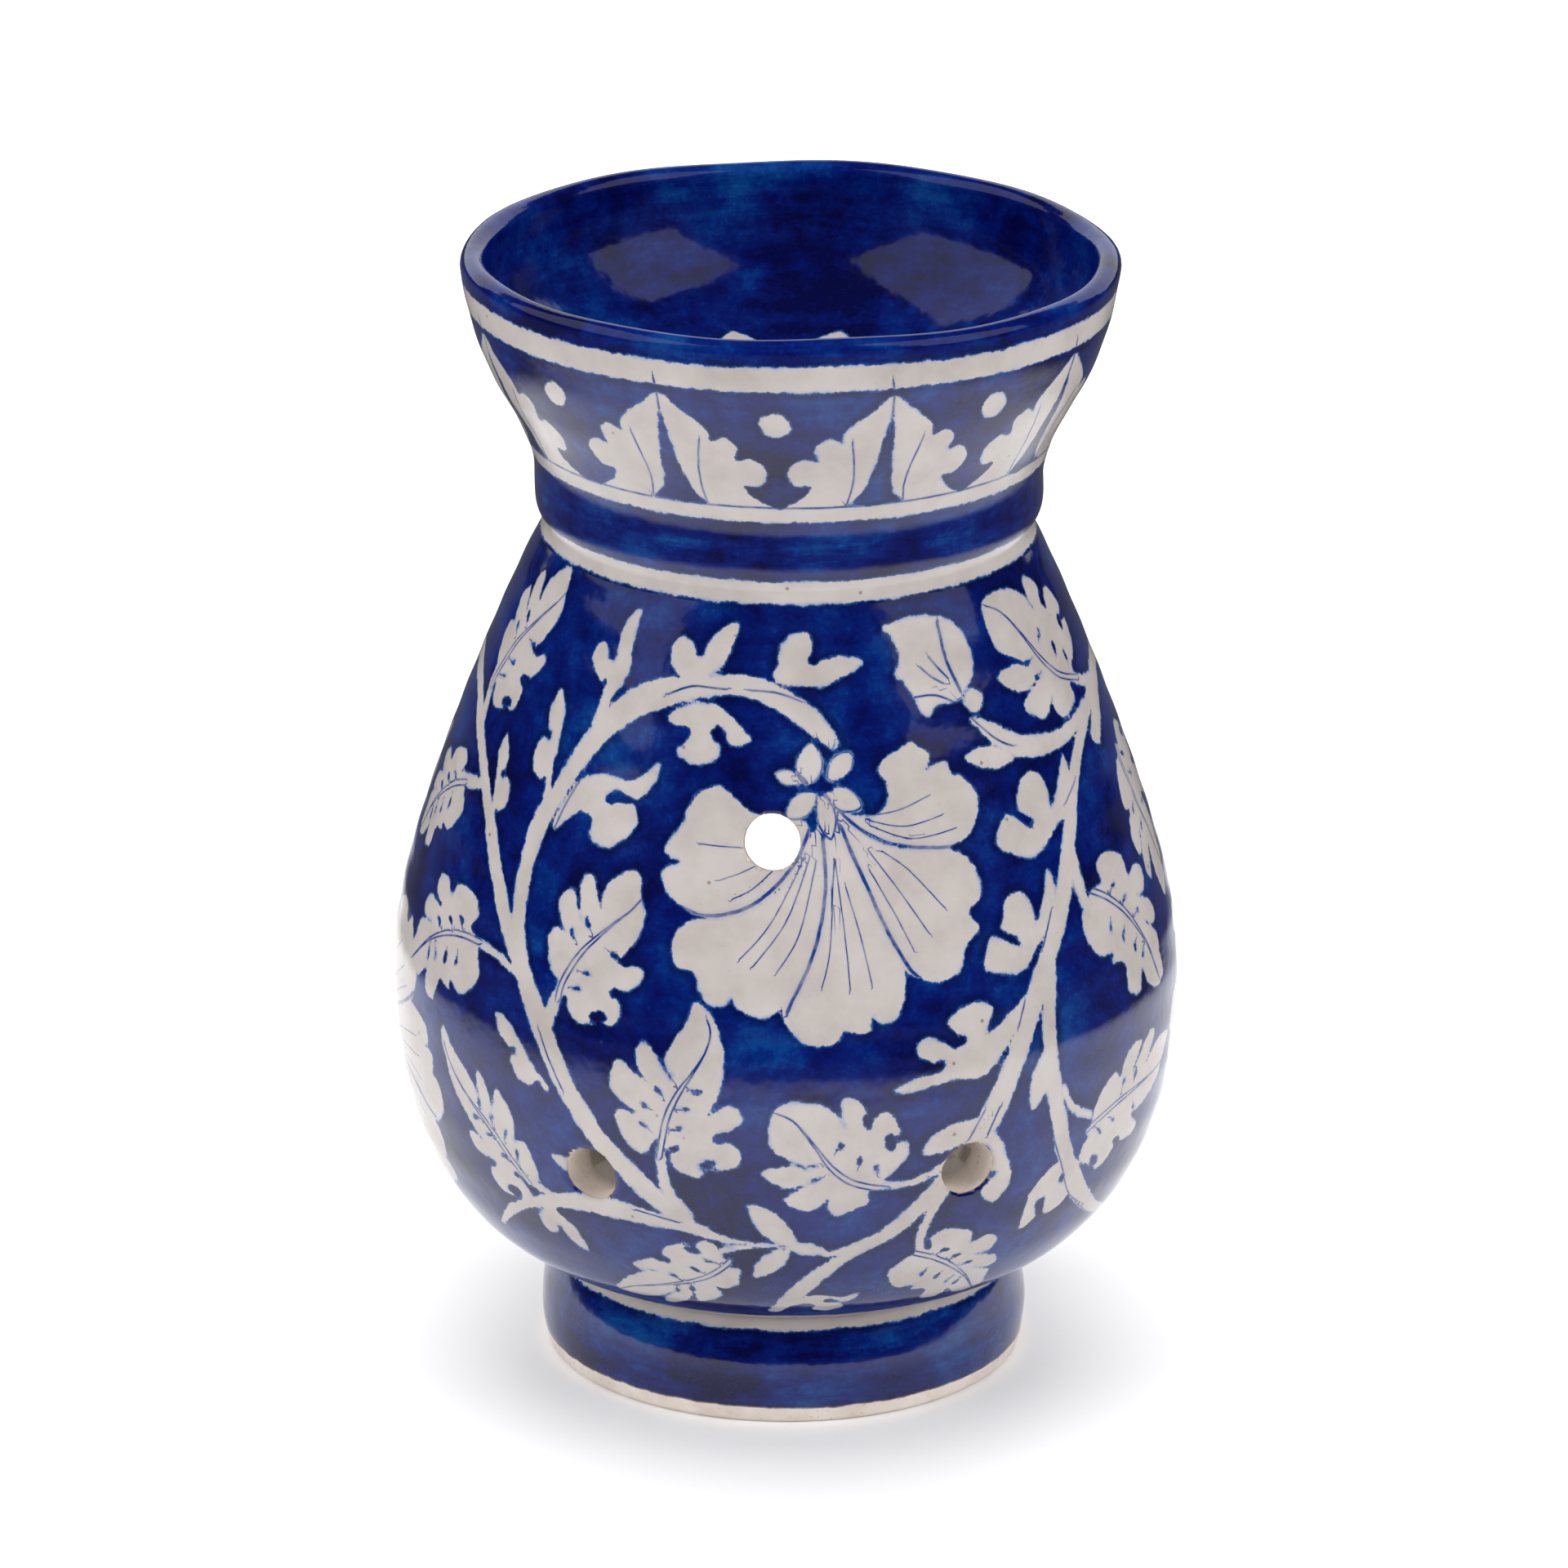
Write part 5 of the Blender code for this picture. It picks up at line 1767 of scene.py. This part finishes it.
def make_wick():
    """A twisted cotton wick that leans over a little where it stands proud of the wax."""
    strand = 0.42
    swing = 0.33
    lean = 0.018
    holder = add_object("wick_strands", bpy.data.meshes.new("wick_strands"))
    twist = holder.modifiers.new("twist", "NODES")
    twist.node_group = braid_tree()
    set_inputs(twist, {
        "Height": (WICK_TOP - WICK_BASE - 2 * strand) * MM, "Strand": strand * MM,
        "Swing": swing * MM, "Twists": 5.0, "Strands": 3, "Finish": waxed_cotton(),
    })
    wick = baked(holder, "tealight_wick_twisted")
    points = corners(wick.data)
    points[:, 2] += WICK_BASE + strand
    proud = np.clip(points[:, 2] - WAX_TOP, 0, None)
    points[:, 0] += lean * proud ** 2
    set_corners(wick.data, points)
    facing_out(wick.data)
    return wick


def build_tealight():
    pieces = (
        (make_cup(), "tealight_cup", "cup_aluminium"),
        (make_wax(), "tealight_wax", "candle_wax"),
        (make_wick(), "tealight_wick", "cotton_wick"),
    )
    for piece, node, slot in pieces:
        show(piece, node, "tealight", slot)
    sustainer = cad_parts["wick_sustainer"]
    sustainer.data.materials.clear()
    sustainer.data.materials.append(tinned_sheet())


# ============================================================ the studio
# Distance and lens in mm, angles in degrees.
CAMERA_AWAY = 1190.9
CAMERA_ELEVATION = 19.72
CAMERA_LENS = 216.5
CAMERA_ROLL = 0.35
CAMERA_SHIFT = (-0.0018, 0.0101)


def make_camera():
    data = bpy.data.cameras.new("camera")
    data.lens = CAMERA_LENS
    data.sensor_width = 36
    data.shift_x, data.shift_y = CAMERA_SHIFT
    data.clip_start = 0.05
    camera = add_object("camera", data)
    rise = math.radians(CAMERA_ELEVATION)
    target = Vector((0, 0, RIM_TOP / 2 * MM))
    back = Vector((0, -math.cos(rise), math.sin(rise))) * CAMERA_AWAY * MM
    look = (-back).to_track_quat("-Z", "Y").to_matrix().to_4x4()
    camera.matrix_world = (Matrix.Translation(target + back) @ look
                           @ Matrix.Rotation(math.radians(CAMERA_ROLL), 4, "Z"))
    bpy.context.scene.camera = camera


def make_softbox(name, place, aim, size, power, mirrored_in_glaze=False):
    """A soft panel light. Only the ones meant for it are mirrored in the glaze."""
    data = bpy.data.lights.new(name, "AREA")
    data.shape = "RECTANGLE"
    data.size, data.size_y = size
    data.energy = power
    light = add_object(name, data)
    place = Vector(place)
    facing = (Vector(aim) - place).to_track_quat("-Z", "Y").to_matrix().to_4x4()
    light.matrix_world = Matrix.Translation(place) @ facing
    light.visible_glossy = mirrored_in_glaze


def square_sheet(name, half, finish):
    """A flat square on the ground."""
    mesh = bpy.data.meshes.new(name)
    edges = [(-half, -half, 0), (half, -half, 0), (half, half, 0), (-half, half, 0)]
    mesh.from_pydata(edges, [], [(0, 1, 2, 3)])
    mesh.materials.append(finish)
    return add_object(name, mesh)


def make_floor():
    made, web, shader, place = new_material("pale_floor")
    web.put(shader.inputs["Base Color"], web.ramp(web.noise(place, 3, 2, 0.5), [
        (0.3, rgb(0.90, 0.90, 0.90)), (0.7, rgb(0.92, 0.92, 0.92))]))
    shader.inputs["Roughness"].default_value = 0.6
    shader.inputs["Specular IOR Level"].default_value = 0.1
    floor = square_sheet("studio_floor", 4.0, made)


# The flag starts and is full at these distances from the pot's axis, in metres.
FLAG_CLEAR = 0.17
FLAG_FULL = 0.25
FLAG_DARKNESS = 0.95
FLAG_HEIGHT = 0.002


def make_flag():
    """A dark ring laid round the pot that only the glaze mirrors. It keeps the far floor's
    glare off the collar and the sides."""
    made, web, shader, place = new_material("black_flag")
    away = web.node("ShaderNodeVectorMath", {0: place}, operation="LENGTH").outputs["Value"]
    far = web.step(away, FLAG_CLEAR, FLAG_FULL)
    web.put(shader.inputs["Base Color"], rgb(0.02, 0.02, 0.02))
    web.put(shader.inputs["Alpha"], web.times(far, FLAG_DARKNESS))
    shader.inputs["Specular IOR Level"].default_value = 0.0
    flag = square_sheet("studio_flag", 2.0, made)
    flag.location.z = FLAG_HEIGHT
    for kind in ("camera", "diffuse", "shadow", "transmission", "volume_scatter"):
        setattr(flag, "visible_" + kind, False)


def make_world():
    world = bpy.data.worlds.new("studio")
    world.use_nodes = True
    sky = world.node_tree.nodes["Background"]
    sky.inputs["Color"].default_value = rgb(0.80, 0.84, 0.92)
    sky.inputs["Strength"].default_value = 0.03
    bpy.context.scene.world = world


SOFTBOXES = (
    # name, place, aim, size, watts, mirrored in the glaze
    ("left_softbox", (-1.1, -0.7, 0.7), (0, 0, 0.06), (0.9, 0.9), 11.0, False),
    ("right_softbox", (1.1, -0.6, 0.6), (0, 0, 0.06), (0.9, 0.9), 9.5, False),
    ("front_softbox", (0.1, -1.3, 0.9), (0, 0, 0.06), (1.0, 0.7), 7.0, False),
    ("overhead", (0.0, 0.2, 1.4), (0, 0, 0), (1.4, 1.4), 17.0, False),
    ("right_card", (0.90, -0.36, 0.95), (0, 0, 0.13), (1.0, 1.1), 2.6, True),
    ("left_card", (-0.96, -0.10, 0.95), (0, 0, 0.13), (1.5, 1.1), 3.6, True),
    ("rear_softbox", (0.0, 1.0, 0.45), (0, 0, 0.04), (1.5, 0.8), 8.0, False),
    ("back_card", (0.0, 1.3, 0.62), (0, 0, 0.10), (3.0, 0.9), 7.0, True),
)


def build_studio():
    make_camera()
    make_floor()
    make_flag()
    make_world()
    for softbox in SOFTBOXES:
        make_softbox(*softbox)
    bpy.context.scene.view_settings.view_transform = "Standard"


build_studio()
build_pot()
build_tealight()
bpy.context.view_layer.update()
